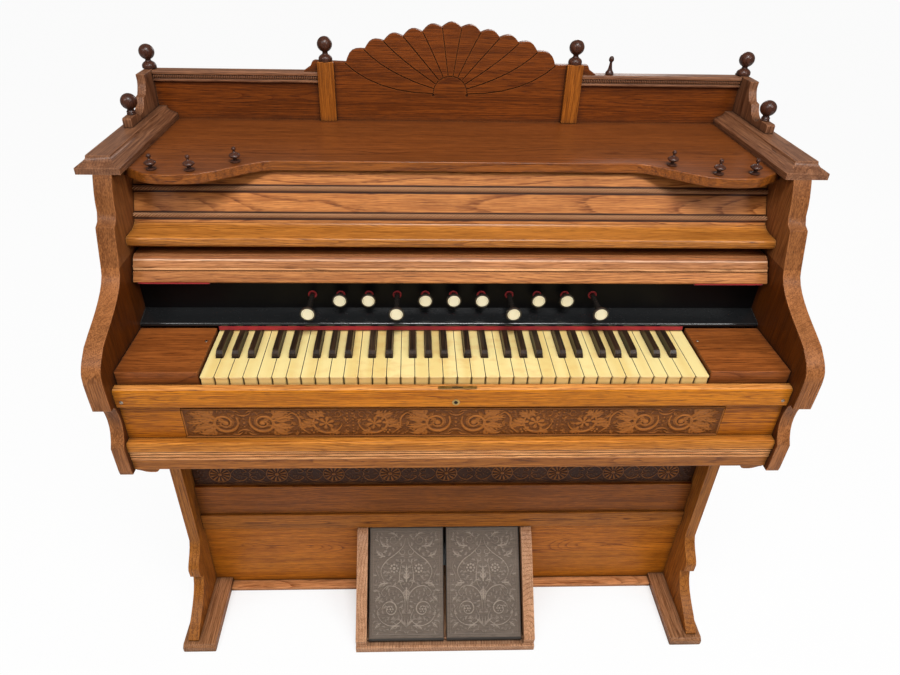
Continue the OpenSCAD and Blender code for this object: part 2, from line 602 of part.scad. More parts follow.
// Folded cloth: a gusset round three sides of each bellows. s is -1 in front and 1 behind.
function gusset(y, s, a, h, c) = [[y, exh_z + 8], [y, exh_z + h - c],
  [y + s * (0.7 + (h - c) * tan(a)), exh_z + h - c], [y + s * (0.7 + 8 * tan(a)), exh_z + 8]];
module cloth_box(x0, x1, y, s, a, h) difference() {
  slab(x0, x1) polygon(gusset(y, s, a, h, 6));
  slab(x0 + 2, x1 - 2) translate([0, -6]) polygon(gusset(y, s, a * 1.3, h, 2));
}
module bellows_cloth() color(cloth) place() {
  both() cloth_box(exh_in, exh_in + exh_w, bel_y, -1, exh_a, exh_h);
  cloth_box(-res_w / 2, res_w / 2, bel_y + bel_back, 1, res_a, res_h);
}
// Webbing straps from each treadle over the strap rail to the top of its exhauster.
strap_a = ramp(treadle_len, under) + [0.4, 0];
strap_b = [bel_y - 1 - exh_h * sin(exh_a) - bellows_t - 2, exh_z + exh_h * cos(exh_a) - 12];
module straps() color(cloth) place() both() slab(70, 100) polygon([strap_a, [strap_y - 2, 330],
  [strap_y - 2, 342], strap_b + [0, 4], strap_b, [strap_y, 341], [strap_y - 0.3, 340], [strap_y - 0.3,
    330], strap_a + [2, 0]]);

// Reed pan over the wind chest, one cell and one brass reed for each key.
pan_z = bed_z - bed_t - 60;
pan_t = 14;
module reed_pan() color(oak) place() {
  difference() {
    bar(-440, 440, 150, 400, case_z + bottom_t, pan_z);
    bar(-424, 424, 166, 384, case_z + bottom_t - 1, pan_z - pan_t);
  }
  difference() {
    bar(-440, 440, 210, 330, pan_z, pan_z + 24);
    for (i = [0:60]) bar(-426 + i * 13.9, -418 + i * 13.9, 209, 268, pan_z + 8, pan_z + 16);
  }
  color(brass) for (i = [0:60]) bar(-425.5 + i * 13.9, -418.5 + i * 13.9, 212, 262, pan_z + 8, pan_z + 10);
}

// Lock and screws.
module fittings() color(brass) place() {
  bar(-32, 32, slip_y - 12, slip_y - 5, slip_z, slip_z + 0.6);
  translate([-2, slip_y - slip_t, slip_z - 27.5]) rotate([90, 0, 0]) cylinder(d = 13, h = 0.8);
  both() translate([block_in + 8.6, 91.6, key_z + block_up]) cylinder(d = 5, h = 0.6, $fn = 12);
  both() translate([w_in - 10, slip_y - slip_t, slip_z - 26]) rotate([90, 0, 0]) cylinder(d = 6, h = 0.6,
    $fn = 12);
}

side_l();
side_r();
legs();
feet();
caps();
shelf();
gallery_ends();
gallery_panels();
gallery_rails();
fan_board();
gallery_posts();
ball_finials();
shelf_finials();
fascia();
fascia_nose();
back_panels();
keyslip();
front_panel();
carved_panel();
bottom_rail();
case_bottom();
knee_panels();
knee_rails();
key_bed();
key_blocks();
felts();
name_board();
stop_board();
fall();
treadle_frame();
treadle_l();
treadle_r();
fittings();
reed_pan();
bellows_board();
reservoir();
exhauster_l();
exhauster_r();
bellows_cloth();
straps();
stop_1();
stop_2();
stop_3();
stop_4();
stop_5();
stop_6();
stop_7();
stop_8();
stop_9();
stop_10();
stop_11();
naturals();
sharps();
key_c();
key_c_sharp();
key_d();
key_d_sharp();
key_e();
key_f();
key_g();
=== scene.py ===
import math

import bmesh
import bpy
import numpy as np
from mathutils import Matrix, Vector


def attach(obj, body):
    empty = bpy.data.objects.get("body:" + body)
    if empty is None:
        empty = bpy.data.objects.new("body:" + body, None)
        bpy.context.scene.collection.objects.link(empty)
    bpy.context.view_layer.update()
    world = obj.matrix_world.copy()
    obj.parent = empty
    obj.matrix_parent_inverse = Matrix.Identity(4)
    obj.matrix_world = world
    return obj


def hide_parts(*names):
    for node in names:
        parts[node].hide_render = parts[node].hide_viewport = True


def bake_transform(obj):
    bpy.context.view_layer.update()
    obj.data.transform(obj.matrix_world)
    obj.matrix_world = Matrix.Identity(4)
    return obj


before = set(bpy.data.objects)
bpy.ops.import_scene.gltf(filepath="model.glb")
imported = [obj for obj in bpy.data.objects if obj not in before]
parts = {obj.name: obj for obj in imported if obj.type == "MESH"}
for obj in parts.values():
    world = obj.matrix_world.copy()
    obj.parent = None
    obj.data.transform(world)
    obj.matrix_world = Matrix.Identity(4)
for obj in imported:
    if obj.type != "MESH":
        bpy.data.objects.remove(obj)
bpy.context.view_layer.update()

# ---------------------------------------------------------------- sled feet and leg boards
# The organ stands on two oak sleds with a shaped leg board glued upright on each. Flat-sawn
# golden oak under old varnish: dark open pores, arched growth rings, edges rubbed pale.


def ink(r, g, b):
    """A colour as it is seen, each channel 0 to 255."""
    return tuple((c / 255 / 12.92) if c <= 10 else ((c / 255 + 0.055) / 1.055) ** 2.4 for c in (r, g, b)) + (1.0,)


def put(tree, kind, sockets=None, **settings):
    """Adds a node; sockets maps an input to a value or to another node's output."""
    n = tree.nodes.new(kind)
    for key, value in settings.items():
        setattr(n, key, value)
    for key, value in (sockets or {}).items():
        if isinstance(value, bpy.types.NodeSocket):
            tree.links.new(value, n.inputs[key])
        else:
            n.inputs[key].default_value = value
    return n


def sums(tree, op, a, b=0.0, c=0.0, clamp=False):
    return put(tree, "ShaderNodeMath", {0: a, 1: b, 2: c}, operation=op, use_clamp=clamp).outputs[0]


def spread(tree, value, a0, a1, b0=0.0, b1=1.0):
    """Value from a0..a1 eased onto b0..b1."""
    return put(tree, "ShaderNodeMapRange", {0: value, 1: a0, 2: a1, 3: b0, 4: b1}, interpolation_type="SMOOTHSTEP").outputs[0]


def blended(tree, fac, a, b, way="MIX"):
    n = put(tree, "ShaderNodeMix", data_type="RGBA", blend_type=way)
    for key, value in ((0, fac), (6, a), (7, b)):
        if isinstance(value, bpy.types.NodeSocket):
            tree.links.new(value, n.inputs[key])
        else:
            n.inputs[key].default_value = value
    return n.outputs[2]


def cloud(tree, vector, stretch, detail=2.0, rough=0.5):
    """Noise with its own stretch along each axis, in bumps per metre."""
    m = put(tree, "ShaderNodeVectorMath", {0: vector, 1: stretch}, operation="MULTIPLY").outputs[0]
    return put(tree, "ShaderNodeTexNoise", {"Vector": m, "Scale": 1.0, "Detail": detail, "Roughness": rough}).outputs[0]


def effect(name, ins, outs):
    """An empty shader node group with named inputs and outputs."""
    g = bpy.data.node_groups.new(name, "ShaderNodeTree")
    for label, kind, value in ins:
        s = g.interface.new_socket(label, in_out="INPUT", socket_type=kind)
        if value is not None:
            s.default_value = value
    for label in outs:
        g.interface.new_socket(label, in_out="OUTPUT", socket_type="NodeSocketFloat")
    return g, g.nodes.new("NodeGroupInput"), g.nodes.new("NodeGroupOutput")


# Growth rings round a pith that wanders behind the board, cut by the board's face.
grain, g_in, g_out = effect(
    "oak_grain",
    [("Vector", "NodeSocketVector", None), ("Rings", "NodeSocketFloat", 190.0), ("Pith", "NodeSocketFloat", 0.05),
     ("Wander", "NodeSocketFloat", 0.05), ("Bow", "NodeSocketFloat", 0.0)],
    ["Early", "Streak", "Pore", "Tone"])
spot = put(grain, "ShaderNodeSeparateXYZ", {0: g_in.outputs["Vector"]}).outputs
slow = cloud(grain, g_in.outputs["Vector"], (1.9, 4.0, 4.0), 2)
ripple = cloud(grain, g_in.outputs["Vector"], (6.0, 38.0, 38.0), 3)
off = sums(grain, "MULTIPLY", sums(grain, "SUBTRACT", slow, 0.5), g_in.outputs["Wander"])
across = sums(grain, "ADD", spot[1], sums(grain, "MULTIPLY", off, 1.2))
bend = sums(grain, "MULTIPLY", sums(grain, "MULTIPLY", spot[0], spot[0]), g_in.outputs["Bow"])
deep = sums(grain, "ADD", sums(grain, "ADD", spot[2], g_in.outputs["Pith"]), sums(grain, "MULTIPLY", off, 1.6))
deep = sums(grain, "ADD", deep, bend)
reach = sums(grain, "SQRT", sums(grain, "ADD", sums(grain, "MULTIPLY", across, across), sums(grain, "MULTIPLY", deep, deep)))
ring = sums(grain, "FRACT", sums(grain, "ADD", sums(grain, "MULTIPLY", reach, g_in.outputs["Rings"]),
                                 sums(grain, "MULTIPLY", ripple, 0.7)))
early = spread(grain, ring, 0.0, 0.46, 1.0, 0.0)
early = sums(grain, "MULTIPLY", early, spread(grain, ring, 0.0, 0.06))
dash = spread(grain, cloud(grain, g_in.outputs["Vector"], (42.0, 430.0, 430.0), 2), 0.38, 0.6, 0.25, 1.0)
early = sums(grain, "MULTIPLY", early, dash)
pits = spread(grain, cloud(grain, g_in.outputs["Vector"], (45.0, 760.0, 760.0), 2), 0.53, 0.66)
grain.links.new(early, g_out.inputs["Early"])
thin = cloud(grain, g_in.outputs["Vector"], (15.0, 640.0, 640.0), 3, 0.7)
wide = cloud(grain, g_in.outputs["Vector"], (3.0, 80.0, 80.0), 3, 0.6)
grain.links.new(sums(grain, "ADD", sums(grain, "MULTIPLY", thin, 0.68), sums(grain, "MULTIPLY", wide, 0.32)), g_out.inputs["Streak"])
grain.links.new(sums(grain, "MULTIPLY", pits, sums(grain, "ADD", sums(grain, "MULTIPLY", early, 0.6), 0.4)),
                g_out.inputs["Pore"])
grain.links.new(cloud(grain, g_in.outputs["Vector"], (2.6, 11.0, 11.0), 2), g_out.inputs["Tone"])

# Arrises rubbed by hands and dusters: the bevelled normal differs from the true one near an edge.
rub, r_in, r_out = effect("rubbed_edge", [("Reach", "NodeSocketFloat", 0.003)], ["Mask"])
soft = put(rub, "ShaderNodeBevel", {"Radius": r_in.outputs["Reach"]}, samples=4).outputs[0]
true = put(rub, "ShaderNodeNewGeometry").outputs["Normal"]
away = sums(rub, "SUBTRACT", 1.0, put(rub, "ShaderNodeVectorMath", {0: soft, 1: true}, operation="DOT_PRODUCT").outputs["Value"])
rub.links.new(spread(rub, away, 0.02, 0.22), r_out.inputs["Mask"])

# Old wax and dust darken the corners that a cloth doesn't reach, and the same mask paints in shade
# in corners, recesses and between parts.
grime_and_shade, d_in, d_out = effect("corner_grime_and_shade", [("Reach", "NodeSocketFloat", 0.02)], ["Mask"])
shut = put(grime_and_shade, "ShaderNodeAmbientOcclusion", {"Distance": d_in.outputs["Reach"]}, samples=6, only_local=False).outputs["AO"]
grime_and_shade.links.new(spread(grime_and_shade, shut, 0.25, 0.95, 1.0, 0.0), d_out.inputs["Mask"])

AXES = {"x": (0, 2, 1), "z": (2, 0, 1), "y": (1, 0, 2), "top": (0, 1, 2), "side": (2, 1, 0)}


def board(name, run="x", centre=(0.0, 0.0, 0.0), pale=(180, 112, 54), deep=(128, 72, 30), pore=(66, 35, 14), rings=190.0,
          pith=0.05, wander=0.05, bow=0.0, depth=1.0, figure=0.8, rubbed=0.4, dirt_and_shade=0.5, quirk=0.7, rough=0.42, coat=0.06, seed=0.0,
          other=None, zones=(), reach=0.02):
    """Varnished oak with its grain along one axis. other = (direction, pale, deep) of faces that look another
    way; zones = (from, to, pale, deep, shift) between two heights, of boards whose grain is another board's
    and of painted highlights and shade."""
    m = bpy.data.materials.new(name)
    m.use_nodes = True
    t = m.node_tree
    body = t.nodes["Principled BSDF"]
    place = put(t, "ShaderNodeTexCoord").outputs["Object"]
    place = put(t, "ShaderNodeVectorMath", {0: place, 1: tuple(centre)}, operation="SUBTRACT").outputs[0]
    ax = put(t, "ShaderNodeSeparateXYZ", {0: place}).outputs
    g, a, d = AXES[run]
    place = put(t, "ShaderNodeCombineXYZ", {0: sums(t, "ADD", ax[g], seed), 1: ax[a], 2: sums(t, "MULTIPLY", ax[d], depth)}).outputs[0]
    strips = []
    for low, high, pale2, deep2, shift in zones:
        level_z = put(t, "ShaderNodeSeparateXYZ", {0: put(t, "ShaderNodeTexCoord").outputs["Object"]}).outputs[2]
        strip_mask = sums(t, "MULTIPLY", sums(t, "GREATER_THAN", level_z, low), sums(t, "LESS_THAN", level_z, high))
        strips.append((strip_mask, pale2, deep2))
        move = put(t, "ShaderNodeCombineXYZ", {0: sums(t, "MULTIPLY", strip_mask, shift), 1: sums(t, "MULTIPLY", strip_mask, shift * 0.03)})
        place = put(t, "ShaderNodeVectorMath", {0: place, 1: move.outputs[0]}, operation="ADD").outputs[0]
    oak = put(t, "ShaderNodeGroup", node_tree=grain)
    t.links.new(place, oak.inputs["Vector"])
    for label, value in (("Rings", rings), ("Pith", pith), ("Wander", wander), ("Bow", bow)):
        oak.inputs[label].default_value = value
    worn = put(t, "ShaderNodeGroup", node_tree=rub)
    dust_and_shade = put(t, "ShaderNodeGroup", node_tree=grime_and_shade)
    dust_and_shade.inputs["Reach"].default_value = reach
    nook = put(t, "ShaderNodeGroup", node_tree=grime_and_shade)
    nook.inputs["Reach"].default_value = 0.004
    light, dark = ink(*pale), ink(*deep)
    if other:
        way = put(t, "ShaderNodeVectorMath", {0: put(t, "ShaderNodeNewGeometry").outputs["Normal"], 1: tuple(other[0])},
                  operation="DOT_PRODUCT").outputs["Value"]
        way = spread(t, way, 0.4, 0.75)
        light, dark = blended(t, way, light, ink(*other[1])), blended(t, way, dark, ink(*other[2]))
    for strip_mask, pale2, deep2 in strips:
        light, dark = blended(t, strip_mask, light, ink(*pale2)), blended(t, strip_mask, dark, ink(*deep2))
    colour = blended(t, spread(t, oak.outputs["Streak"], 0.41, 0.6), dark, light)
    colour = blended(t, sums(t, "MULTIPLY", oak.outputs["Early"], figure), colour, (0.4, 0.29, 0.19, 1.0), "MULTIPLY")
    colour = blended(t, spread(t, oak.outputs["Tone"], 0.35, 0.72, 0.0, 0.5), colour, (1.3, 1.26, 1.2, 1.0), "MULTIPLY")
    colour = blended(t, sums(t, "MULTIPLY", oak.outputs["Pore"], 0.85), colour, ink(*pore))
    # Dirt and painted shade darken the corners, and the narrow quirks more.
    colour = blended(t, sums(t, "MULTIPLY", dust_and_shade.outputs["Mask"], dirt_and_shade), colour, ink(*[c * 0.55 for c in pore]))
    colour = blended(t, sums(t, "MULTIPLY", nook.outputs["Mask"], quirk), colour, ink(*[c * 0.4 for c in pore]))
    colour = blended(t, sums(t, "MULTIPLY", worn.outputs["Mask"], rubbed), colour, ink(*[min(255, c * 1.2 + 14) for c in pale]))
    t.links.new(colour, body.inputs["Base Color"])
    dull = sums(t, "ADD", rough, sums(t, "MULTIPLY", oak.outputs["Streak"], 0.12))
    t.links.new(sums(t, "ADD", dull, sums(t, "MULTIPLY", dust_and_shade.outputs["Mask"], 0.3)), body.inputs["Roughness"])
    body.inputs["Coat Weight"].default_value = coat
    body.inputs["Coat Roughness"].default_value = 0.25
    body.inputs["Specular IOR Level"].default_value = 0.2
    height = sums(t, "SUBTRACT", sums(t, "MULTIPLY", oak.outputs["Early"], -0.25), oak.outputs["Pore"])
    bump = put(t, "ShaderNodeBump", {"Strength": 0.28, "Distance": 0.0006, "Height": height})
    t.links.new(bump.outputs[0], body.inputs["Normal"])
    return m


# Eased arrises: doubles welded, corners beveled, curved edges shaded smooth up to 34 degrees.
clean = bpy.data.node_groups.new("clean_board", "GeometryNodeTree")
clean.interface.new_socket("Geometry", in_out="INPUT", socket_type="NodeSocketGeometry")
clean.interface.new_socket("Smooth", in_out="INPUT", socket_type="NodeSocketFloat")
clean.interface.new_socket("Geometry", in_out="OUTPUT", socket_type="NodeSocketGeometry")
c_in, c_out = clean.nodes.new("NodeGroupInput"), clean.nodes.new("NodeGroupOutput")
bare = put(clean, "GeometryNodeRemoveAttribute", {"Geometry": c_in.outputs[0], "Name": "custom_normal"})
weld = put(clean, "GeometryNodeMergeByDistance", {"Geometry": bare.outputs[0], "Distance": 2e-5})
turn = put(clean, "GeometryNodeInputMeshEdgeAngle").outputs["Unsigned Angle"]
crisp = put(clean, "FunctionNodeCompare", {0: turn, 1: c_in.outputs[1]}, data_type="FLOAT", operation="LESS_EQUAL").outputs[0]
smooth = put(clean, "GeometryNodeSetShadeSmooth", {"Geometry": weld.outputs[0], "Shade Smooth": True}, domain="FACE")
smooth = put(clean, "GeometryNodeSetShadeSmooth", {"Geometry": smooth.outputs[0], "Shade Smooth": crisp}, domain="EDGE")
clean.links.new(smooth.outputs[0], c_out.inputs[0])


def dress(node, finish, arris=0.0012, smooth_to=34.0, segments=2):
    """Gives a CAD node its finish and eases its edges with live modifiers; its mesh stays as it is."""
    o = parts[node]
    o.data.materials.clear()
    o.data.materials.append(finish)
    tidy = o.modifiers.new("tidy", "NODES")
    tidy.node_group = clean
    tidy[clean.interface.items_tree["Smooth"].identifier] = math.radians(smooth_to)
    if arris:
        b = o.modifiers.new("arris", "BEVEL")
        b.width, b.segments, b.limit_method, b.angle_limit = arris, segments, "ANGLE", math.radians(smooth_to + 4)
        b.use_clamp_overlap = True
        b.miter_outer = "MITER_SHARP"
    w = o.modifiers.new("even_shade", "WEIGHTED_NORMAL")
    w.keep_sharp = not arris
    return o


dress("feet", board("oak_feet", "y", (0.54, 0, 0), pale=(172, 122, 84), deep=(126, 82, 50), pith=0.04), 0.002)
dress("legs", board("oak_legs", "z", (0.56, -0.1, 0), pale=(174, 108, 42), deep=(130, 74, 20), pith=0.06, rings=120), 0.0022)

# ---------------------------------------------------------------- knee front
# Thin oak panels close the space between the legs, with a rail across the middle and a
# moulding on the floor. The top one carries a pressed band of roundels and scrolls.
dress("knee_panels", board("oak_knee_panels", "x", (0, -0.08, 0.18), pale=(196, 118, 26), deep=(152, 84, 12), rings=230,
                           pith=0.03, wander=0.09, figure=1.0,
                           zones=((0.24, 0.6, (156, 88, 22), (116, 60, 9), 3.0), (0.105, 0.23, (196, 116, 28), (150, 82, 12), 1.7))), 0.0012)
dress("knee_rails", board("oak_knee_rail", "x", (0.1, -0.1, 0.225), pale=(180, 108, 34), deep=(134, 76, 18), rings=330,
                          pith=0.012, wander=0.03, figure=1.0,
                          zones=((-0.1, 0.03, (212, 146, 96), (170, 112, 66), 2.0),)), 0.002)


def at(x, y, z):
    """A point of the working drawing, in mm with y = 0 at the key fronts, in the row frame."""
    return Vector((x / 1000, (y - 239.5) / 1000, z / 1000))


def blank(width, height, cell=0.8):
    """A flat plate to press a relief into: its columns, its rows and its heights, in mm."""
    u = np.linspace(-width / 2, width / 2, int(width / cell) + 1)
    v = np.linspace(-height / 2, height / 2, int(height / cell) + 1)
    return u, v, np.zeros((len(v), len(u)))


def press(plate, line, wide, top):
    """Raises a round-backed stroke along a line; wide is one half width or a pair of them."""
    u, v, h = plate
    line = np.asarray(line, float)
    step = np.hypot(*np.diff(line, axis=0).T)
    run = np.concatenate([[0], np.cumsum(step)])
    count = max(2, int(run[-1] / 0.6))
    t = np.linspace(0, run[-1], count)
    widths = np.interp(t, np.linspace(0, run[-1], len(np.atleast_1d(wide))), np.atleast_1d(wide).astype(float))
    for a, b, w in zip(np.interp(t, run, line[:, 0]), np.interp(t, run, line[:, 1]), widths):
        i = np.searchsorted(u, (a - w, a + w))
        j = np.searchsorted(v, (b - w, b + w))
        if i[1] <= i[0] or j[1] <= j[0]:
            continue
        d = ((u[None, i[0]:i[1]] - a) ** 2 + (v[j[0]:j[1], None] - b) ** 2) / (w * w)
        rise = top * np.sqrt(np.clip(1 - d, 0, 1)) * min(1.0, 0.45 + w / 3.5)
        block = h[j[0]:j[1], i[0]:i[1]]
        np.maximum(block, rise, out=block)


def flow(*points, n=9):
    """A smooth line through the given points."""
    p = [np.array(q, float) for q in points]
    p = [2 * p[0] - p[1]] + p + [2 * p[-1] - p[-2]]
    out = []
    for a, b, c, d in zip(p, p[1:], p[2:], p[3:]):
        for t in np.linspace(0, 1, n, endpoint=False):
            out.append(0.5 * (2 * b + (c - a) * t + (2 * a - 5 * b + 4 * c - d) * t * t + (3 * b - a - 3 * c + d) * t ** 3))
    return np.array(out + [p[-2]])


def coil(cx, cy, r0, r1, a0, turns, n=46):
    """A spiral from radius r0 to r1, turning from the angle a0, in degrees."""
    t = np.linspace(0, 1, n)
    a, r = math.radians(a0) + t * turns * 2 * math.pi, r0 + (r1 - r0) * t ** 0.85
    return np.stack([cx + r * np.cos(a), cy + r * np.sin(a)], 1)


def leaf(plate, root, tip, bend, wide, top, lobes=4):
    """An acanthus leaf: a bent midrib with pairs of round lobes that lean to the tip."""
    root, tip = np.array(root, float), np.array(tip, float)
    d = tip - root
    side = np.array([-d[1], d[0]])
    rib = flow(root, root + d * 0.5 + side * bend, tip, n=12)
    press(plate, rib, (wide * 0.22, wide * 0.3, 0.5), top)
    for k in range(lobes):
        i = int((0.12 + 0.72 * k / lobes) * len(rib))
        go = rib[min(i + 3, len(rib) - 1)] - rib[i]
        go = go / max(np.linalg.norm(go), 1e-6)
        out = np.array([-go[1], go[0]])
        size = wide * (1.0 - 0.62 * k / lobes)
        for s in (-1, 1):
            press(plate, flow(rib[i], rib[i] + go * size * 0.45 + s * out * size * 0.5, rib[i] + go * size * 1.0 + s * out * size * 0.62, n=6),
                  (size * 0.12, size * 0.24, size * 0.1), top * 0.86)


def berry(plate, x, y, r, top):
    press(plate, [(x - 0.05, y), (x + 0.05, y)], r, top)


def fill(plate, size, top, tries, seed):
    """Small leaves in every bare place, the same on both sides: such work leaves little ground plain."""
    u, v, h = plate
    pick = np.random.default_rng(seed)
    r = max(2, int(size * 0.3 / (u[1] - u[0])))
    for _ in range(tries):
        x, y = pick.uniform(size * 0.4, u[-1] - size * 0.8), pick.uniform(v[0] + size * 0.5, v[-1] - size * 0.5)
        a, big = pick.uniform(0, 2 * math.pi), size * pick.uniform(0.7, 1.15)
        i, j = np.searchsorted(u, x), np.searchsorted(v, y)
        if h[max(j - r, 0):j + r + 1, max(i - r, 0):i + r + 1].max() > 0.35 * top:
            continue
        dx, dy = math.cos(a) * big / 2, math.sin(a) * big / 2
        for s in (-1, 1):
            leaf(plate, (s * (x - dx), y - dy), (s * (x + dx), y + dy), 0.25 * s, big * 0.5, top, 2)


def pressed_panel(name, plate, place, back, finish, body):
    """A closed shell from a pressed plate; place turns (across, up, height) in mm into the row frame."""
    u, v, h = plate
    nu, nv = len(u), len(v)
    grid = [place(a, b, h[j, i]) for j, b in enumerate(v) for i, a in enumerate(u)]
    faces = [(j * nu + i, j * nu + i + 1, (j + 1) * nu + i + 1, (j + 1) * nu + i) for j in range(nv - 1) for i in range(nu - 1)]
    rim = [i for i in range(nu)] + [j * nu + nu - 1 for j in range(1, nv)] + [(nv - 1) * nu + i for i in range(nu - 2, -1, -1)]
    rim += [j * nu for j in range(nv - 2, 0, -1)]
    flat = np.concatenate([[(a, v[0]) for a in u], [(u[-1], b) for b in v[1:]], [(a, v[-1]) for a in u[-2::-1]],
                           [(u[0], b) for b in v[-2:0:-1]]])
    base = len(grid)
    grid += [place(a, b, back) for a, b in flat]
    n = len(rim)
    faces += [(rim[(k + 1) % n], rim[k], base + k, base + (k + 1) % n) for k in range(n)]
    faces += [tuple(base + k for k in range(n - 1, -1, -1))]
    mesh = bpy.data.meshes.new(name)
    mesh.from_pydata([tuple(p) for p in grid], [], faces)
    mark = mesh.attributes.new("raised", "FLOAT", "POINT")
    mark.data.foreach_set("value", np.concatenate([(h / max(h.max(), 1e-6)).ravel(), np.zeros(n)]).astype(np.float32))
    mesh.materials.append(finish)
    for p in mesh.polygons:
        p.use_smooth = p.index < (nv - 1) * (nu - 1)
    o = bpy.data.objects.new(name, mesh)
    bpy.context.scene.collection.objects.link(o)
    bm = bmesh.new()
    bm.from_mesh(mesh)
    bmesh.ops.recalc_face_normals(bm, faces=bm.faces)
    bm.to_mesh(mesh)
    bm.free()
    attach(o, body)
    return o


def pressed_wood(name, low, high, rough=0.42):
    """Wood pressed or carved in relief: dark in the ground and light on the ridges, as stain rubbed off the ridges and
    as painted shade and highlight.
    """
    m = bpy.data.materials.new(name)
    m.use_nodes = True
    t = m.node_tree
    body = t.nodes["Principled BSDF"]
    place = put(t, "ShaderNodeTexCoord").outputs["Object"]
    lift = put(t, "ShaderNodeAttribute", attribute_name="raised").outputs["Fac"]
    dust_and_shade = put(t, "ShaderNodeGroup", node_tree=grime_and_shade)
    dust_and_shade.inputs["Reach"].default_value = 0.0045
    fine = cloud(t, place, (60.0, 700.0, 700.0), 3)
    patch = cloud(t, place, (9.0, 30.0, 30.0), 2)
    high_mask = sums(t, "ADD", spread(t, lift, 0.12, 0.8), sums(t, "MULTIPLY", sums(t, "SUBTRACT", patch, 0.5), 0.5), clamp=True)
    colour = blended(t, high_mask, ink(*low), ink(*high))
    colour = blended(t, spread(t, fine, 0.42, 0.75, 0.0, 0.5), colour, ink(*[c * 0.62 for c in low]))
    # Dirt and painted shade darken the narrow corners of the relief.
    colour = blended(t, sums(t, "MULTIPLY", dust_and_shade.outputs["Mask"], 0.9), colour, ink(*[c * 0.4 for c in low]))
    t.links.new(colour, body.inputs["Base Color"])
    t.links.new(sums(t, "ADD", rough, sums(t, "MULTIPLY", fine, 0.2)), body.inputs["Roughness"])
    body.inputs["Specular IOR Level"].default_value = 0.18
    body.inputs["Coat Weight"].default_value = 0.08
    body.inputs["Coat Roughness"].default_value = 0.3
    bump = put(t, "ShaderNodeBump", {"Strength": 0.3, "Distance": 0.0005, "Height": fine})
    t.links.new(bump.outputs[0], body.inputs["Normal"])
    return m


band = blank(1096, 64, 0.9)
for k in range(-4, 5):
    c = k * 122.5
    press(band, coil(c, 0, 22.5, 22.5, 0, 1.0, 60), 1.5, 1.5)
    for p in range(12):
        a = math.radians(30 * p + 15)
        ray = np.array([math.cos(a), math.sin(a)])
        press(band, [(c, 0) + ray * 6.5, (c, 0) + ray * 18.5], (1.0, 2.9), 1.7)
    berry(band, c, 0, 5.0, 2.0)
    for s in (-1, 1):
        if abs(c + s * 61) > 540:
            continue
        for up in (-1, 1):
            mid = c + s * 61.25
            press(band, flow((c + s * 24, up * 4), (c + s * 33, up * 15), (c + s * 46, up * 19), (mid - s * 4, up * 9),
                             (mid - s * 14, up * 5), (mid - s * 16, up * 12)), (1.0, 1.6, 1.7, 1.3, 0.8), 1.5)
            press(band, flow((c + s * 20, up * 24), (c + s * 34, up * 28), (c + s * 50, up * 27), (mid, up * 30)), (0.9, 1.4, 0.9), 1.3)
            leaf(band, (c + s * 29, up * 22), (c + s * 45, up * 12), 0.25 * s * up, 5.0, 1.2, 2)
    for s in (0, 1):
        mid = c + 61.25
        if mid < 540:
            press(band, flow((mid, -9 + 18 * s), (mid + 4, 0), (mid, 9 - 18 * s)), (0.8, 1.7, 0.8), 1.4)
            berry(band, mid, 15 - 30 * s, 1.7, 1.6)
            berry(band, mid + 7 - 14 * s, 0, 1.3, 1.4)
fill(band, 7.0, 1.2, 900, 11)
band[2][:3, :] = band[2][-3:, :] = 1.2
# The band lies in the shadow under the case: its colours are painted dark with that shadow, over its stain.
carved_band_stain_and_shadow = pressed_wood("carved_knee_band", (60, 28, 6), (146, 86, 32))
knee_band = pressed_panel("knee_band", band, lambda a, b, h: at(a, 155.6 - h, 368 + b), -0.3, carved_band_stain_and_shadow, "case")

# ---------------------------------------------------------------- treadle frame and treadles
# Two pine boards hinged on a rod inside an oak frame. Each wears a pressed cover with a
# double border, volutes and flowers, grey with floor dust and worn bright on its ridges; the
# light ridges and dark hollows are also painted highlight and shade.
dress("treadle_frame", board("oak_treadle_frame", "y", (0.19, -0.15, 0.1), pale=(204, 156, 120), deep=(166, 118, 84), rings=160,
                             rubbed=0.6), 0.0022)


def plain_paint(name, colour, rough, metal=0.0, coat=0.0, speck=(80.0, 80.0, 80.0), shift=0.25, bump=0.15, depth=0.0004, worn=None,
                dirt_and_shade=0.4, reach=0.02):
    """A painted, stained or metal surface with blotches, fine grain and rubbed edges."""
    m = bpy.data.materials.new(name)
    m.use_nodes = True
    t = m.node_tree
    body = t.nodes["Principled BSDF"]
    place = put(t, "ShaderNodeTexCoord").outputs["Object"]
    blot = cloud(t, place, tuple(s * 0.12 for s in speck), 3)
    fine = cloud(t, place, tuple(s * 6 for s in speck), 3, 0.6)
    dust_and_shade = put(t, "ShaderNodeGroup", node_tree=grime_and_shade)
    dust_and_shade.inputs["Reach"].default_value = reach
    tone = blended(t, spread(t, blot, 0.3, 0.7, 0.0, shift * 2), ink(*colour), ink(*[c * 0.7 for c in colour]))
    tone = blended(t, spread(t, fine, 0.45, 0.8, 0.0, shift), tone, ink(*[min(255, c * 1.3 + 6) for c in colour]))
    if worn:
        edge = put(t, "ShaderNodeGroup", node_tree=rub)
        tone = blended(t, sums(t, "MULTIPLY", edge.outputs["Mask"], 0.6), tone, ink(*worn))
    # Dirt and painted shade darken the corners.
    tone = blended(t, sums(t, "MULTIPLY", dust_and_shade.outputs["Mask"], dirt_and_shade), tone, ink(*[c * 0.35 for c in colour]))
    t.links.new(tone, body.inputs["Base Color"])
    t.links.new(sums(t, "ADD", rough, sums(t, "MULTIPLY", sums(t, "SUBTRACT", fine, 0.5), 0.25)), body.inputs["Roughness"])
    body.inputs["Metallic"].default_value = metal
    body.inputs["Coat Weight"].default_value = coat
    body.inputs["Coat Roughness"].default_value = 0.15
    b = put(t, "ShaderNodeBump", {"Strength": bump, "Distance": depth, "Height": fine})
    t.links.new(b.outputs[0], body.inputs["Normal"])
    return m
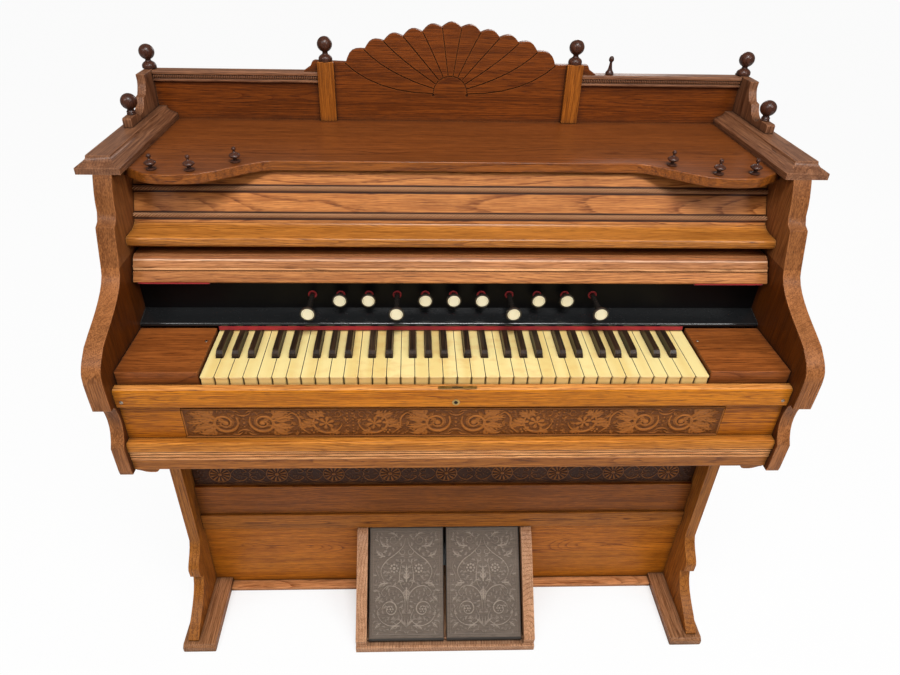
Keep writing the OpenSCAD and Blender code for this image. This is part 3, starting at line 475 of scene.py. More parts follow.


# The pine is darkened far into the closed case: painted shade of the case's dark inside.
pine_board = board("pine_inside", "z", (0, 0, 0.3), pale=(190, 148, 92), deep=(152, 108, 60), pore=(110, 74, 40), rings=120,
                   pith=0.03, coat=0.0, rough=0.6, dirt_and_shade=0.97, reach=0.35, figure=0.5)
cover_side = plain_paint("treadle_rubber", (62, 56, 50), 0.6)
for side in ("treadle_l", "treadle_r"):
    dress(side, cover_side, 0.0012)
treadle_slope, rod, deck = math.radians(46.5), (-11.0, 19.5), 7.0
cover = blank(166, 236, 0.8)
for edge in (3.2, 7.4):
    x, y = 83 - edge, 118 - edge
    press(cover, [(-x, -y), (x, -y), (x, y), (-x, y), (-x, -y)], 0.8, 0.9)
for s in (-1, 1):
    press(cover, coil(s * 36, -57, 19, 4, 90 - s * 90, s * 1.55, 70), (1.0, 2.0, 1.5, 1.0), 1.3)
    for p in range(6):
        a = math.radians(60 * p)
        berry(cover, s * 36 + 6.0 * math.cos(a), -57 + 6.0 * math.sin(a), 2.3, 1.0)
    berry(cover, s * 36, -57, 3.0, 1.3)
    press(cover, flow((s * 17, -57), (s * 10, -78), (s * 30, -92), (s * 54, -84), (s * 66, -64), (s * 58, -52)), (0.9, 1.6, 1.4, 0.8), 1.2)
    press(cover, flow((s * 3, -60), (s * 5, -30), (s * 20, -12), (s * 42, -8), (s * 56, -20), (s * 50, -30), (s * 44, -22)),
          (0.9, 1.6, 1.6, 1.2, 0.8), 1.2)
    for p in range(8):
        a = math.radians(45 * p)
        berry(cover, s * 28 + 8.2 * math.cos(a), 30 + 8.2 * math.sin(a), 3.1, 1.1)
        press(cover, coil(s * 28, 30, 13.6, 13.6, 45 * p - 14, 0.08, 8), (0.6, 1.2, 0.6), 0.9)
    berry(cover, s * 28, 30, 4.0, 1.5)
    press(cover, flow((s * 2, 96), (s * 8, 78), (s * 24, 62), (s * 46, 46), (s * 58, 26), (s * 52, 6), (s * 40, -2)),
          (0.8, 1.5, 1.7, 1.4, 0.8), 1.2)
    press(cover, coil(s * 9, 66, 9, 3, 90, -s * 1.25, 40), (0.9, 1.4, 0.8), 1.1)
    press(cover, coil(s * 30, 92, 11, 3, 200 if s > 0 else -20, s * 1.3, 40), (0.8, 1.3, 0.8), 1.0)
    press(cover, flow((s * 12, 42), (s * 16, 12), (s * 12, -6), (s * 4, -16)), (0.8, 1.6, 0.8), 1.2)
    press(cover, flow((s * 68, -10), (s * 62, 10), (s * 70, 32), (s * 62, 54)), (0.6, 1.3, 0.6), 0.9)
    for root, tip, bend, wide in (((44, -2), (66, -14), 0.2, 9), ((50, 56), (70, 74), -0.2, 9), ((36, 78), (62, 96), -0.25, 9),
                                  ((16, -92), (38, -104), 0.2, 8), ((58, -86), (72, -100), 0.1, 7), ((6, 2), (22, -4), 0.3, 7),
                                  ((20, 98), (44, 106), 0.2, 7), ((60, -30), (72, -44), 0.1, 7)):
        leaf(cover, (s * root[0], root[1]), (s * tip[0], tip[1]), bend * s, wide, 1.0, 3)
    for p in range(4):
        press(cover, flow((0, -96), (s * (3 + 5 * p), -84 + 2 * p), (s * (4 + 8 * p), -74 - 3 * p)), (0.6, 1.7, 0.9), 1.0)
leaf(cover, (0, 2), (0, 40), 0.0, 10, 1.2, 4)
leaf(cover, (0, -12), (0, -44), 0.0, 11, 1.1, 4)
berry(cover, 0, 10, 4.5, 1.3)
fill(cover, 10.0, 1.0, 700, 23)
rng = np.random.default_rng(5)
cover[2][:] += 0.1 * rng.random(cover[2].shape)
cover_metal = pressed_wood("treadle_cover", (112, 99, 88), (160, 146, 132), 0.5)
for s, name, body in ((-1, "treadle_cover_left", "treadle_left"), (1, "treadle_cover_right", "treadle_right")):
    def on_treadle(a, b, h, s=s):
        up, out = b + 120, deck + 0.15 + h * 1.4
        return at(s * 87.5 + a, rod[0] + up * math.cos(treadle_slope) - out * math.sin(treadle_slope),
                  rod[1] + up * math.sin(treadle_slope) + out * math.cos(treadle_slope))
    pressed_panel(name, cover, on_treadle, -1.2, cover_metal, body)

# ---------------------------------------------------------------- bellows and wind chest
# Pine boards with cloth gussets stand behind the knee front; two webbing straps run from
# the treadles over a rail to the exhausters. The chest above holds one brass reed a key.
for n in ("bellows_board", "reservoir", "exhauster_l", "exhauster_r"):
    dress(n, pine_board, 0.0015)
dress("reed_pan", board("pine_chest", "x", (0, 0, 0.62), pale=(206, 166, 110), deep=(170, 124, 72), pore=(140, 96, 54), coat=0.0,
                        rough=0.6), 0.0)
dress("case_bottom", board("oak_bottom", "top", (0, 0, 0.58), pale=(180, 128, 76), deep=(146, 96, 52), rough=0.5, coat=0.05), 0.0012)


def cloth_finish(name, colour, threads, rough=0.9):
    """Woven cloth: warp and weft along the object's axes, with soiled patches."""
    m = bpy.data.materials.new(name)
    m.use_nodes = True
    t = m.node_tree
    body = t.nodes["Principled BSDF"]
    place = put(t, "ShaderNodeTexCoord").outputs["Object"]
    s = put(t, "ShaderNodeSeparateXYZ", {0: place}).outputs
    warp = sums(t, "SINE", sums(t, "MULTIPLY", s[0], threads * 6.283))
    weft = sums(t, "SINE", sums(t, "MULTIPLY", s[2], threads * 6.283))
    weave = sums(t, "MAXIMUM", warp, weft)
    patch = cloud(t, place, (12.0, 12.0, 12.0), 3)
    colours = blended(t, spread(t, patch, 0.3, 0.7, 0.0, 0.6), ink(*colour), ink(*[c * 0.7 for c in colour]))
    colours = blended(t, spread(t, weave, -0.2, 1.0, 0.35, 0.0), colours, ink(*[c * 0.45 for c in colour]))
    t.links.new(colours, body.inputs["Base Color"])
    body.inputs["Roughness"].default_value = rough
    body.inputs["Sheen Weight"].default_value = 0.15
    b = put(t, "ShaderNodeBump", {"Strength": 0.5, "Distance": 0.0003, "Height": weave})
    t.links.new(b.outputs[0], body.inputs["Normal"])
    return m


def link_mesh(name, verts, faces, finish, smooth=False, shut=True):
    mesh = bpy.data.meshes.new(name)
    mesh.from_pydata([tuple(v) for v in verts], [], faces)
    bm = bmesh.new()
    bm.from_mesh(mesh)
    if shut:
        bmesh.ops.remove_doubles(bm, verts=bm.verts, dist=1e-6)
        bmesh.ops.recalc_face_normals(bm, faces=bm.faces)
    bm.to_mesh(mesh)
    bm.free()
    for p in mesh.polygons:
        p.use_smooth = smooth
    mesh.materials.append(finish)
    o = bpy.data.objects.new(name, mesh)
    bpy.context.scene.collection.objects.link(o)
    return o


# A gusset is one strip of rubber cloth folded once, so its middle tucks in between the boards.
gusset_cloth = cloth_finish("bellows_cloth", (64, 54, 48), 1500)


def gusset(name, x0, x1, hinge, base, height, angle, back):
    """Cloth round the two sides and the top of a wedge bellows; back is 1 behind the board and -1 before it."""
    verts, faces, area = [], [], 0.0
    tuck = 9.0
    slope = math.tan(math.radians(angle))
    path = [(x0, base + 8), (x0, base + height - 8), (x1, base + height - 8), (x1, base + 8)]
    inward = [(1, 0), (1, -1), (-1, -1), (-1, 0)]
    rows = []
    steps = []
    for k in range(3):
        a, b = path[k], path[k + 1]
        for t in np.linspace(0, 1, 15)[(1 if k else 0):]:
            x, z = a[0] + (b[0] - a[0]) * t, a[1] + (b[1] - a[1]) * t
            ix, iz = inward[k][0] * (1 - t) + inward[k + 1][0] * t, inward[k][1] * (1 - t) + inward[k + 1][1] * t
            if k == 0:
                ix = 1
            steps.append((x, z, ix, iz))
    for x, z, ix, iz in steps:
        gap = max((z - base) * slope, 0.6)
        row = []
        for f in np.linspace(0, 1, 9):
            fold = (1 - abs(2 * f - 1)) * min(tuck, gap * 0.45)
            row.append(at(x + ix * fold * 0.9, hinge + back * (0.2 + (gap - 0.4) * f), z + iz * fold * 0.9))
        rows.append(row)
    for row in rows:
        verts += row
    for r in range(len(rows) - 1):
        for f in range(8):
            faces.append((r * 9 + f, r * 9 + f + 1, (r + 1) * 9 + f + 1, (r + 1) * 9 + f))
    o = link_mesh(name, verts, faces, gusset_cloth, True, False)
    for p in o.data.polygons:
        area += p.area
    solid = o.modifiers.new("cloth", "SOLIDIFY")
    solid.thickness, solid.offset = 0.0007, 0.0
    bpy.context.view_layer.update()
    o.data = bpy.data.meshes.new_from_object(o.evaluated_get(bpy.context.evaluated_depsgraph_get()))
    o.modifiers.clear()
    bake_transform(o)
    return o


exh_tilt = math.degrees(math.atan(34 / 300))
left_gusset = gusset("gusset_left", -315, -17, 318, 60, 300, exh_tilt, -1)
right_gusset = gusset("gusset_right", 17, 315, 318, 60, 300, exh_tilt, -1)
rear_gusset = gusset("gusset_reservoir", -419, 419, 340, 60, 440, 9.0, 1)
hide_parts("bellows_cloth")

# Each strap is cotton webbing in two lengths: treadle to rail, and rail to exhauster.
strap_cloth = cloth_finish("strap_webbing", (150, 128, 92), 900)


def strap(name, line, x0, x1):
    line = flow(*line, n=7)
    verts, faces = [], []
    for i, p in enumerate(line):
        d = line[min(i + 1, len(line) - 1)] - line[max(i - 1, 0)]
        n = np.array([-d[1], d[0]]) / np.linalg.norm(d) * 0.75
        for x in (x0, x1):
            for s in (-1, 1):
                verts.append(at(x, p[0] + s * n[0], p[1] + s * n[1]))
    for i in range(len(line) - 1):
        a, b = i * 4, i * 4 + 4
        faces += [(a, a + 2, b + 2, b), (a + 1, b + 1, b + 3, a + 3), (a, b, b + 1, a + 1), (a + 2, a + 3, b + 3, b + 2)]
    faces += [(0, 1, 3, 2), (len(line) * 4 - 4, len(line) * 4 - 2, len(line) * 4 - 1, len(line) * 4 - 3)]
    o = link_mesh(name, verts, faces, strap_cloth)
    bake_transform(o)
    return o


strap_foot = (-11 + 240 * math.cos(treadle_slope) + 7 * math.sin(treadle_slope) + 1.6,
              19.5 + 240 * math.sin(treadle_slope) - 7 * math.cos(treadle_slope) - 1.0)
strap_head = (317 - 300 * math.sin(math.radians(exh_tilt)) - 12 - 3.2, 60 + 300 * math.cos(math.radians(exh_tilt)) - 10)
for s, who in ((-1, "left"), (1, "right")):
    a, b = sorted((s * 70, s * 100))
    low = strap("strap_low_" + who, [strap_foot, (203.4, 326), (204.4, 338)], a, b)
    high = strap("strap_high_" + who, [(206, 341.6), (226, 342), strap_head], a, b)
    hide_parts("straps")

# ---------------------------------------------------------------- sides, back and lower front
# Shaped oak sides carry everything. Below the keys a keyslip, a panel with a carved strip
# let into it and a moulded bottom rail run from side to side, all in golden oak.
side_grain = dict(pale=(164, 104, 58), deep=(120, 70, 32), pith=0.05, rings=150, wander=0.06, rubbed=0.6, figure=0.4,
                  zones=((0.9, 1.05, (144, 90, 48), (106, 60, 27), 0.0),))
# Faces that look into the case are painted darker: painted shade inside the case, with dirt.
inner_shade_and_dirt = ((102, 50, 8), (72, 33, 3))
dress("side_l", board("oak_side_left", "side", (-0.58, -0.1, 0.8), other=((1, 0, 0),) + inner_shade_and_dirt, **side_grain), 0.003)
dress("side_r", board("oak_side_right", "side", (0.58, -0.06, 0.8), seed=3.1, other=((-1, 0, 0),) + inner_shade_and_dirt, **side_grain), 0.003)
dress("back_panels", board("oak_back", "x", (0, 0.26, 0.7), pale=(156, 102, 54), deep=(118, 72, 34), rings=120, pith=0.02, rough=0.55,
                           coat=0.05), 0.0012)
gold = dict(pale=(208, 126, 22), deep=(160, 88, 8))
# Its paler top ledge is wear and painted sheen on an upward face.
dress("keyslip", board("oak_keyslip", "x", (0.2, -0.25, 0.73), rings=260, pith=0.01, wander=0.03, seed=1.7,
                       zones=((0.7445, 0.76, (226, 154, 80), (188, 118, 52), 0.3),), **gold), 0.0012)
dress("front_panel", board("oak_front_panel", "x", (0.5, -0.24, 0.67), rings=240, pith=0.02, wander=0.09, seed=5.2, figure=1.0,
                           pale=(190, 110, 16), deep=(142, 76, 4)), 0.001)
# The reeded band is painted paler as sheen on its upward face; three thin dark lines in its grooves are painted shade.
dress("bottom_rail", board("oak_bottom_rail", "x", (-0.1, -0.26, 0.6), rings=240, pith=0.03, wander=0.04, seed=8.4,
                           quirk=0.9, pale=(214, 136, 52), deep=(166, 98, 28),
                           zones=((0.594, 0.616, (234, 166, 106), (196, 128, 74), 1.0), (0.5, 0.594, (176, 108, 44), (132, 76, 26), 0.4))
                           + tuple((z - 0.0009, z + 0.0009, (70, 36, 12), (50, 24, 8), 0.0) for z in (0.6002, 0.6067, 0.6132))), 0.0009)

# The carved strip: pairs of volutes and flower sprays on a stippled ground in a plain fillet.
strip = blank(928, 64.5, 0.8)


def volutes(c):
    """Two volutes that face each other, tied by small bows, with leaves blowing outwards."""
    for s in (-1, 1):
        x = c + s * 33
        press(strip, coil(x, 0, 24.5, 6, 90 + s * 60, s * 1.62, 90), (1.6, 3.4, 3.2, 2.4, 1.6), 2.5)
        press(strip, coil(x, 0, 19.5, 9, 90 - s * 20, s * 0.8, 40), (0.8, 1.8, 0.8), 1.7)
        berry(strip, x - s * 2, -1, 5.6, 2.7)
        leaf(strip, (x - s * 2, 3), (x + s * 9, 15), -0.3 * s, 9, 2.0, 3)
        leaf(strip, (x + s * 4, -6), (x + s * 15, -13), 0.3 * s, 7, 1.7, 2)
        for tip, bend, wide in (((58, 25), 0.22, 13), ((62, 9), 0.12, 12), ((60, -9), -0.12, 12), ((54, -24), -0.22, 12)):
            leaf(strip, (c + s * 50, tip[1] * 0.45), (c + s * (tip[0] + 26), tip[1]), bend * s, wide * 1.25, 2.3, 4)
        press(strip, flow((c + s * 4, 21), (c + s * 12, 27), (c + s * 22, 27)), (0.8, 2.2, 0.8), 1.9)
        press(strip, flow((c + s * 4, -21), (c + s * 12, -27), (c + s * 22, -27)), (0.8, 2.2, 0.8), 1.9)
        press(strip, flow((c + s * 1, 9), (c + s * 8, 0), (c + s * 1, -9)), (0.7, 1.3, 0.7), 1.5)
    for z in (-24, 24):
        press(strip, coil(c, z * 1.28, 15, 15, 200 if z > 0 else 20, 0.4, 24), (0.8, 2.0, 0.8), 2.1)
    for z in (-9, 0, 9):
        berry(strip, c, z, 2.0 if z else 3.0, 1.9)
    for s in (-1, 1):
        for z in (-14, -5, 5, 14):
            press(strip, [(c - 5, z - 3 * s), (c + 5, z + 3 * s)], 0.7, 1.0)


def flowers(c):
    """Two flower heads in open scrolls either side of a double string of beads."""
    for s in (-1, 1):
        x = c + s * 41
        for k in range(9):
            berry(strip, c + s * 4.6, -28 + 7 * k, 2.5 if k % 2 else 1.7, 1.9)
        press(strip, coil(x, 1, 27, 20, 90 + s * 100, s * 0.72, 60), (1.4, 2.8, 2.6, 1.2), 2.3)
        press(strip, coil(x - s * 20, 20, 7, 2.5, 270, -s * 1.1, 30), (1.6, 1.2, 0.8), 1.9)
        for p in range(6):
            a = math.radians(60 * p + 20)
            ray = np.array([math.cos(a), math.sin(a)])
            press(strip, [(x, -1) + ray * 3, (x, -1) + ray * 10.5], (1.6, 4.2), 2.2)
        berry(strip, x, -1, 3.6, 2.8)
        for dx, dz in ((14, -14), (20, -17), (17, -21), (23, -23), (11, -20), (26, -18)):
            berry(strip, x + s * dx, dz, 2.7, 2.1)
        for root, tip, bend, wide in (((14, 8), (34, 22), 0.2, 11), ((16, 0), (40, 6), -0.15, 11), ((-8, -14), (-22, -26), 0.2, 10),
                                      ((4, 14), (10, 27), -0.2, 9), ((28, -8), (48, -14), 0.25, 10)):
            leaf(strip, (x + s * root[0], root[1]), (x + s * tip[0], tip[1]), bend * s, wide * 1.25, 2.2, 3)
        press(strip, flow((x + s * 30, -26), (x + s * 44, -10), (x + s * 46, 10), (x + s * 56, 22), (x + s * 64, 16), (x + s * 58, 10)),
              (1.0, 2.4, 2.4, 1.8, 1.0), 2.2)


for c in (-362.5, 0.0, 362.5):
    volutes(c)
for c in (-181.3, 181.3):
    flowers(c)
for s in (-1, 1):
    for tip, bend in (((456, 22), 0.2), ((460, 2), -0.1), ((456, -20), -0.2)):
        leaf(strip, (s * 434, tip[1] * 0.4), (s * tip[0], tip[1]), bend * s, 11, 2.0, 3)
fill(strip, 12.0, 2.0, 1500, 7)
fill(strip, 8.0, 1.6, 1500, 8)
rows, cols = strip[2].shape
ground = strip[2] < 0.35
stipple = np.random.default_rng(3).random((rows, cols))
strip[2][ground] += 0.35 * (stipple[ground] > 0.6)
strip[2][:3, :] = strip[2][-3:, :] = 2.0
strip[2][:, :3] = strip[2][:, -3:] = 2.0
strip[2][3:5, :] = strip[2][-5:-3, :] = 0.0
carving = pressed_panel("carved_strip", strip, lambda a, b, h: at(a, -6.7 - h, 667.2 + b), -3.6,
                        pressed_wood("carved_front", (112, 62, 20), (164, 98, 38)), "case")
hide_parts("carved_panel")

# ---------------------------------------------------------------- keyboard
# White keys are pine levers under yellowed celluloid, with a lip over a celluloid front.
# Black keys are stained hardwood, rounded at the front and worn brown along the top.
dress("key_bed", pine_board, 0.001)
dress("key_blocks", board("oak_key_blocks", "x", (0.5, -0.17, 0.76), pale=(150, 84, 36), deep=(112, 58, 22), rings=200, pith=0.015,
                          wander=0.04, rubbed=0.5, rough=0.36), 0.0025)


def ivory_finish(name, colour, deep, rough, stain=0.0, front=(240, 192, 116)):
    """Yellowed celluloid: each key has its own tone; dirt and painted shade lie along its sides, and side faces are
    painted dark as shade.
    """
    m = bpy.data.materials.new(name)
    m.use_nodes = True
    t = m.node_tree
    body = t.nodes["Principled BSDF"]
    place = put(t, "ShaderNodeTexCoord").outputs["Object"]
    edge = put(t, "ShaderNodeGroup", node_tree=rub)
    dust_and_shade = put(t, "ShaderNodeGroup", node_tree=grime_and_shade)
    dust_and_shade.inputs["Reach"].default_value = 0.006
    each = cloud(t, place, (42.0, 1.5, 1.5), 0)
    fine = cloud(t, place, (300.0, 26.0, 300.0), 3)
    tone = blended(t, spread(t, each, 0.3, 0.7), ink(*colour), ink(*deep))
    tone = blended(t, spread(t, fine, 0.5, 0.8, 0.0, 0.12), tone, ink(*[c * 0.86 for c in deep]))
    if stain:
        side_way = sums(t, "ABSOLUTE", put(t, "ShaderNodeSeparateXYZ", {0: place}).outputs[0])
        played = sums(t, "MULTIPLY", spread(t, side_way, 0.06, 0.34, 1.0, 0.25), spread(t, cloud(t, place, (34.0, 60.0, 5.0), 3), 0.46, 0.7))
        tone = blended(t, sums(t, "MULTIPLY", played, stain), tone, ink(214, 150, 70))
    tone = blended(t, sums(t, "MULTIPLY", edge.outputs["Mask"], 0.25), tone, ink(255, 244, 206))
    # Dirt and painted shade darken the gaps and corners.
    tone = blended(t, sums(t, "MULTIPLY", dust_and_shade.outputs["Mask"], 0.85), tone, ink(134, 84, 30))
    way = put(t, "ShaderNodeSeparateXYZ", {0: put(t, "ShaderNodeNewGeometry").outputs["Normal"]}).outputs
    tone = blended(t, spread(t, way[1], -0.5, -0.95, 0.0, 0.5), tone, ink(*front))
    # Faces that look sideways are painted dark brown: painted shade in the gaps between keys.
    tone = blended(t, spread(t, sums(t, "ABSOLUTE", way[0]), 0.6, 0.95, 0.0, 0.9), tone, ink(92, 58, 26))
    t.links.new(tone, body.inputs["Base Color"])
    t.links.new(sums(t, "ADD", rough, sums(t, "MULTIPLY", fine, 0.16)), body.inputs["Roughness"])
    body.inputs["Coat Weight"].default_value = 0.2
    body.inputs["Coat Roughness"].default_value = 0.2
    body.inputs["Subsurface Weight"].default_value = 0.06
    body.inputs["Subsurface Radius"].default_value = (0.002, 0.0015, 0.001)
    b = put(t, "ShaderNodeBump", {"Strength": 0.12, "Distance": 0.0003, "Height": fine})
    t.links.new(b.outputs[0], body.inputs["Normal"])
    return m


ivory = ivory_finish("key_celluloid", (240, 220, 152), (233, 206, 132), 0.26, 0.25)
ebony = board("key_ebony", "y", (0, 0, 0.77), pale=(62, 43, 29), deep=(25, 19, 14), pore=(12, 10, 9), rings=260, pith=0.02,
              rubbed=0.4, dirt_and_shade=0.6, rough=0.3, coat=0.3)
PITCH, GAP, HEAD, LEVER = 23.6, 1.3, 52.0, 350.0
SHARP_OFF = {3: -3.6, 5: 3.6, 0: -2.8, 1: 2.8}


def extrude(bm, outline, z0, z1, slot=0):
    """A prism from an outline of drawing points between two heights."""
    low = [bm.verts.new(at(x, y, z0)) for x, y in outline]
    high = [bm.verts.new(at(x, y, z1)) for x, y in outline]
    made = [bm.faces.new(low[::-1]), bm.faces.new(high)]
    for i in range(len(outline)):
        j = (i + 1) % len(outline)
        made.append(bm.faces.new((low[i], low[j], high[j], high[i])))
    for f in made:
        f.material_index = slot
    return made


def white_outline(k, front, inset=0.0):
    m = (k + 3) % 7
    x0, x1 = (k - 18) * PITCH + GAP / 2 + inset, (k - 17) * PITCH - GAP / 2 - inset
    cut = 12.5 / 2 + 0.7
    left = (k - 18) * PITCH + SHARP_OFF.get((m + 6) % 7, 0) + cut + inset if m not in (3, 0) and k > 0 else x0
    right = (k - 17) * PITCH + SHARP_OFF.get(m, 0) - cut - inset if m not in (2, 6) and k < 35 else x1
    return [(x0 + 1.6, front), (x1 - 1.6, front), (x1, front + 1.6), (x1, HEAD), (right, HEAD), (right, LEVER), (left, LEVER),
            (left, HEAD), (x0, HEAD), (x0, front + 1.6)]


def white_keys(name, which, body, *nodes):
    bm = bmesh.new()
    for k in which:
        extrude(bm, white_outline(k, 0.0), 757.6, 760.0, 0)
        o = white_outline(k, 1.6, 0.25)
        extrude(bm, o, 740.5, 757.6, 0 if k >= 0 else 1)
        extrude(bm, [(o[0][0] - 1.3, 3.0), (o[1][0] + 1.3, 3.0), (o[3][0], HEAD), (o[4][0], HEAD), (o[4][0], LEVER), (o[6][0], LEVER),
                     (o[6][0], HEAD), (o[8][0], HEAD)], 738.0, 740.5, 1)
    edges = [e for e in bm.edges if len(e.link_faces) == 2 and e.calc_face_angle() > 0.9 and
             max(v.co.z for v in e.verts) > 0.7575 and max(v.co.y for v in e.verts) < 0.1]
    bmesh.ops.bevel(bm, geom=edges, offset=0.0005, segments=2, profile=0.6, affect="EDGES", clamp_overlap=True)
    bmesh.ops.recalc_face_normals(bm, faces=bm.faces)
    mesh = bpy.data.meshes.new(name)
    bm.to_mesh(mesh)
    bm.free()
    mesh.materials.append(ivory)
    mesh.materials.append(pine_board)
    o = bpy.data.objects.new(name, mesh)
    bpy.context.scene.collection.objects.link(o)
    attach(o, body)
    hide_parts(*nodes)


def black_keys(name, which, body, *nodes):
    bm = bmesh.new()
    for k in which:
        x = (k - 17) * PITCH + SHARP_OFF.get((k + 3) % 7, 0)
        extrude(bm, [(x - 6.2, HEAD + 2), (x + 6.2, HEAD + 2), (x + 6.2, LEVER), (x - 6.2, LEVER)], 738.0, 759.4, 1)
        rings = []
        for y, z, w in ((54.0, 759.0, 6.2), (54.0, 763.0, 6.1), (55.6, 766.8, 5.8), (59.2, 771.2, 5.3), (61.5, 772, 5.2), (120, 772, 5.0), (131, 764.2, 5.2)):
            rings.append([bm.verts.new(at(x + s * w, y, z)) for s in (-1, 1)])
        foot = [bm.verts.new(at(x + s * 6.2, 131, 759.0)) for s in (-1, 1)]
        for a, b in zip(rings, rings[1:]):
            bm.faces.new((a[0], a[1], b[1], b[0]))
        bm.faces.new((rings[-1][0], rings[-1][1], foot[1], foot[0]))
        for s in (0, 1):
            bm.faces.new([r[s] for r in rings] + [foot[s]])
        bm.faces.new((rings[0][0], foot[0], foot[1], rings[0][1]))
    edges = [e for e in bm.edges if len(e.link_faces) == 2 and e.calc_face_angle() > 0.5 and min(v.co.z for v in e.verts) > 0.7592]
    bmesh.ops.recalc_face_normals(bm, faces=bm.faces)
    bmesh.ops.bevel(bm, geom=edges, offset=0.0011, segments=3, profile=0.55, affect="EDGES", clamp_overlap=True)
    mesh = bpy.data.meshes.new(name)
    bm.to_mesh(mesh)
    bm.free()
    mesh.materials.append(ebony)
    mesh.materials.append(pine_board)
    o = bpy.data.objects.new(name, mesh)
    bpy.context.scene.collection.objects.link(o)
    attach(o, body)
    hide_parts(*nodes)


white_keys("white_keys", [k for k in range(36) if not 18 <= k <= 22], "case", "naturals")
for k, n in ((18, "c"), (19, "d"), (20, "e"), (21, "f"), (22, "g")):
    white_keys("white_key_" + n, [k], "key_lever_" + n, "key_" + n)
with_sharp = [k for k in range(35) if (k + 3) % 7 not in (2, 6)]
black_keys("black_keys", [k for k in with_sharp if k not in (18, 19)], "case", "sharps")
for k, n in ((18, "c_sharp"), (19, "d_sharp")):
    black_keys("black_key_" + n, [k], "key_lever_" + n, "key_" + n)

# ---------------------------------------------------------------- black boards, felt and stops
# A sloping name board with a round bead and an upright stop board, both black lacquer on
# wood. Red felt lies behind the keys and round each stop. The knobs are turned and stained
# black with a pale face let in; four stand drawn. Their faces are left bare.
black_gloss = plain_paint("black_lacquer", (25, 26, 27), 0.24, coat=0.5, speck=(14.0, 30.0, 30.0), shift=0.05, bump=0.02, worn=(96, 92, 88))
black_satin = plain_paint("black_satin", (13, 12, 13), 0.4, speck=(14.0, 30.0, 30.0), shift=0.05, bump=0.02)
black_satin.node_tree.nodes["Principled BSDF"].inputs["Specular IOR Level"].default_value = 0.15
dress("name_board", black_gloss, 0.0012)
dress("stop_board", black_satin, 0.0)
red_felt = cloth_finish("red_felt", (182, 34, 38), 400)


def turned(name, profile, origin, axis, finish, around=48, smooth_to=38.0):
    """A closed turning from (radius, along) pairs, standing at a drawing point along an axis."""
    axis = Vector(axis).normalized()
    frame_x = Vector((1, 0, 0)) if abs(axis.x) < 0.9 else Vector((0, 1, 0))
    side = axis.cross(frame_x).normalized()
    up = axis.cross(side)
    base = at(*origin)
    verts, faces, rings = [], [], []
    for r, h in profile:
        if r < 1e-6:
            rings.append([len(verts)])
            verts.append(base + axis * h / 1000)
        else:
            rings.append(list(range(len(verts), len(verts) + around)))
            for k in range(around):
                a = 2 * math.pi * k / around
                verts.append(base + axis * h / 1000 + (side * math.cos(a) + up * math.sin(a)) * r / 1000)
    for a, b in zip(rings, rings[1:]):
        for k in range(around):
            j = (k + 1) % around
            if len(a) == 1 and len(b) > 1:
                faces.append((a[0], b[k], b[j]))
            elif len(b) == 1 and len(a) > 1:
                faces.append((a[k], b[0], a[j]))
            elif len(a) > 1:
                faces.append((a[k], b[k], b[j], a[j]))
    o = link_mesh(name, verts, faces, finish, True)
    o.data.set_sharp_from_angle(angle=math.radians(smooth_to))
    return o


knob_black = plain_paint("knob_ebony", (34, 30, 27), 0.25, coat=0.5, speck=(120.0, 120.0, 120.0), shift=0.25, bump=0.05, worn=(96, 76, 58))
knob_face = ivory_finish("knob_face", (246, 238, 208), (238, 224, 184), 0.28, 0.0, (244, 234, 200))
knob_turning = [(0, 1.0), (11.2, 1.0), (11.4, 0.35), (12.2, 0.0), (13.2, 0.25), (13.75, 1.2), (13.75, 4.4), (13.3, 5.6), (12.2, 6.8),
                (9.6, 9.0), (7.6, 11.0), (6.5, 12.0), (6.4, 12.6), (7.4, 13.1), (7.6, 14.0), (7.2, 15.0), (6.0, 15.6), (5.1, 17.0),
                (5.0, 18.5), (5.0, 112.0), (0, 112.0)]
face_turning = [(0, 1.1), (11.1, 1.1), (11.05, 0.35), (10.8, 0.15), (9.6, 0.2), (9.3, 0.6), (8.9, 0.6), (8.6, 0.2), (5.0, 0.42), (0, 0.5)]
for i in range(11):
    out = 44.0 if i in (0, 3, 7, 10) else 0.0
    where = ((i - 5) * 51.4, 147.0 - out, 816.0)
    knob = turned(f"stop_knob_{i + 1}_turning", knob_turning, where, (0, 1, 0), knob_black)
    face = turned(f"stop_knob_{i + 1}_face", face_turning, where, (0, 1, 0), knob_face)
    for o in (knob, face):
        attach(o, f"stop_knob_{i + 1}")
    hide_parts(f"stop_{i + 1}")

# The felt strip lies along the foot of the name board; a punched ring lies round each stem.
strip_line = [(149, 762.6), (133.4, 762.6), (133.3, 769.6), (134.3, 770.0), (136.6, 767.3), (149, 767.3)]
verts = [at(x, y, z) for x in (-424.0, 424.0) for y, z in strip_line]
faces = [(0, 1, 2, 3, 4, 5), (11, 10, 9, 8, 7, 6)] + [(i, i + 6, (i + 1) % 6 + 6, (i + 1) % 6) for i in range(6)]
strip_felt = link_mesh("felt_strip", verts, faces, red_felt)
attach(strip_felt, "case")
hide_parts("felts")
for i in range(11):
    ring_line = [(5.5, 0.0), (8.0, 0.0), (8.0, 1.4), (7.6, 1.9), (6.0, 2.0), (5.5, 1.7), (5.5, 0.0)]
    felt_ring = turned(f"felt_ring_{i + 1}", ring_line, ((i - 5) * 51.4, 171, 816), (0, -1, 0), red_felt, 32)
    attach(felt_ring, "case")

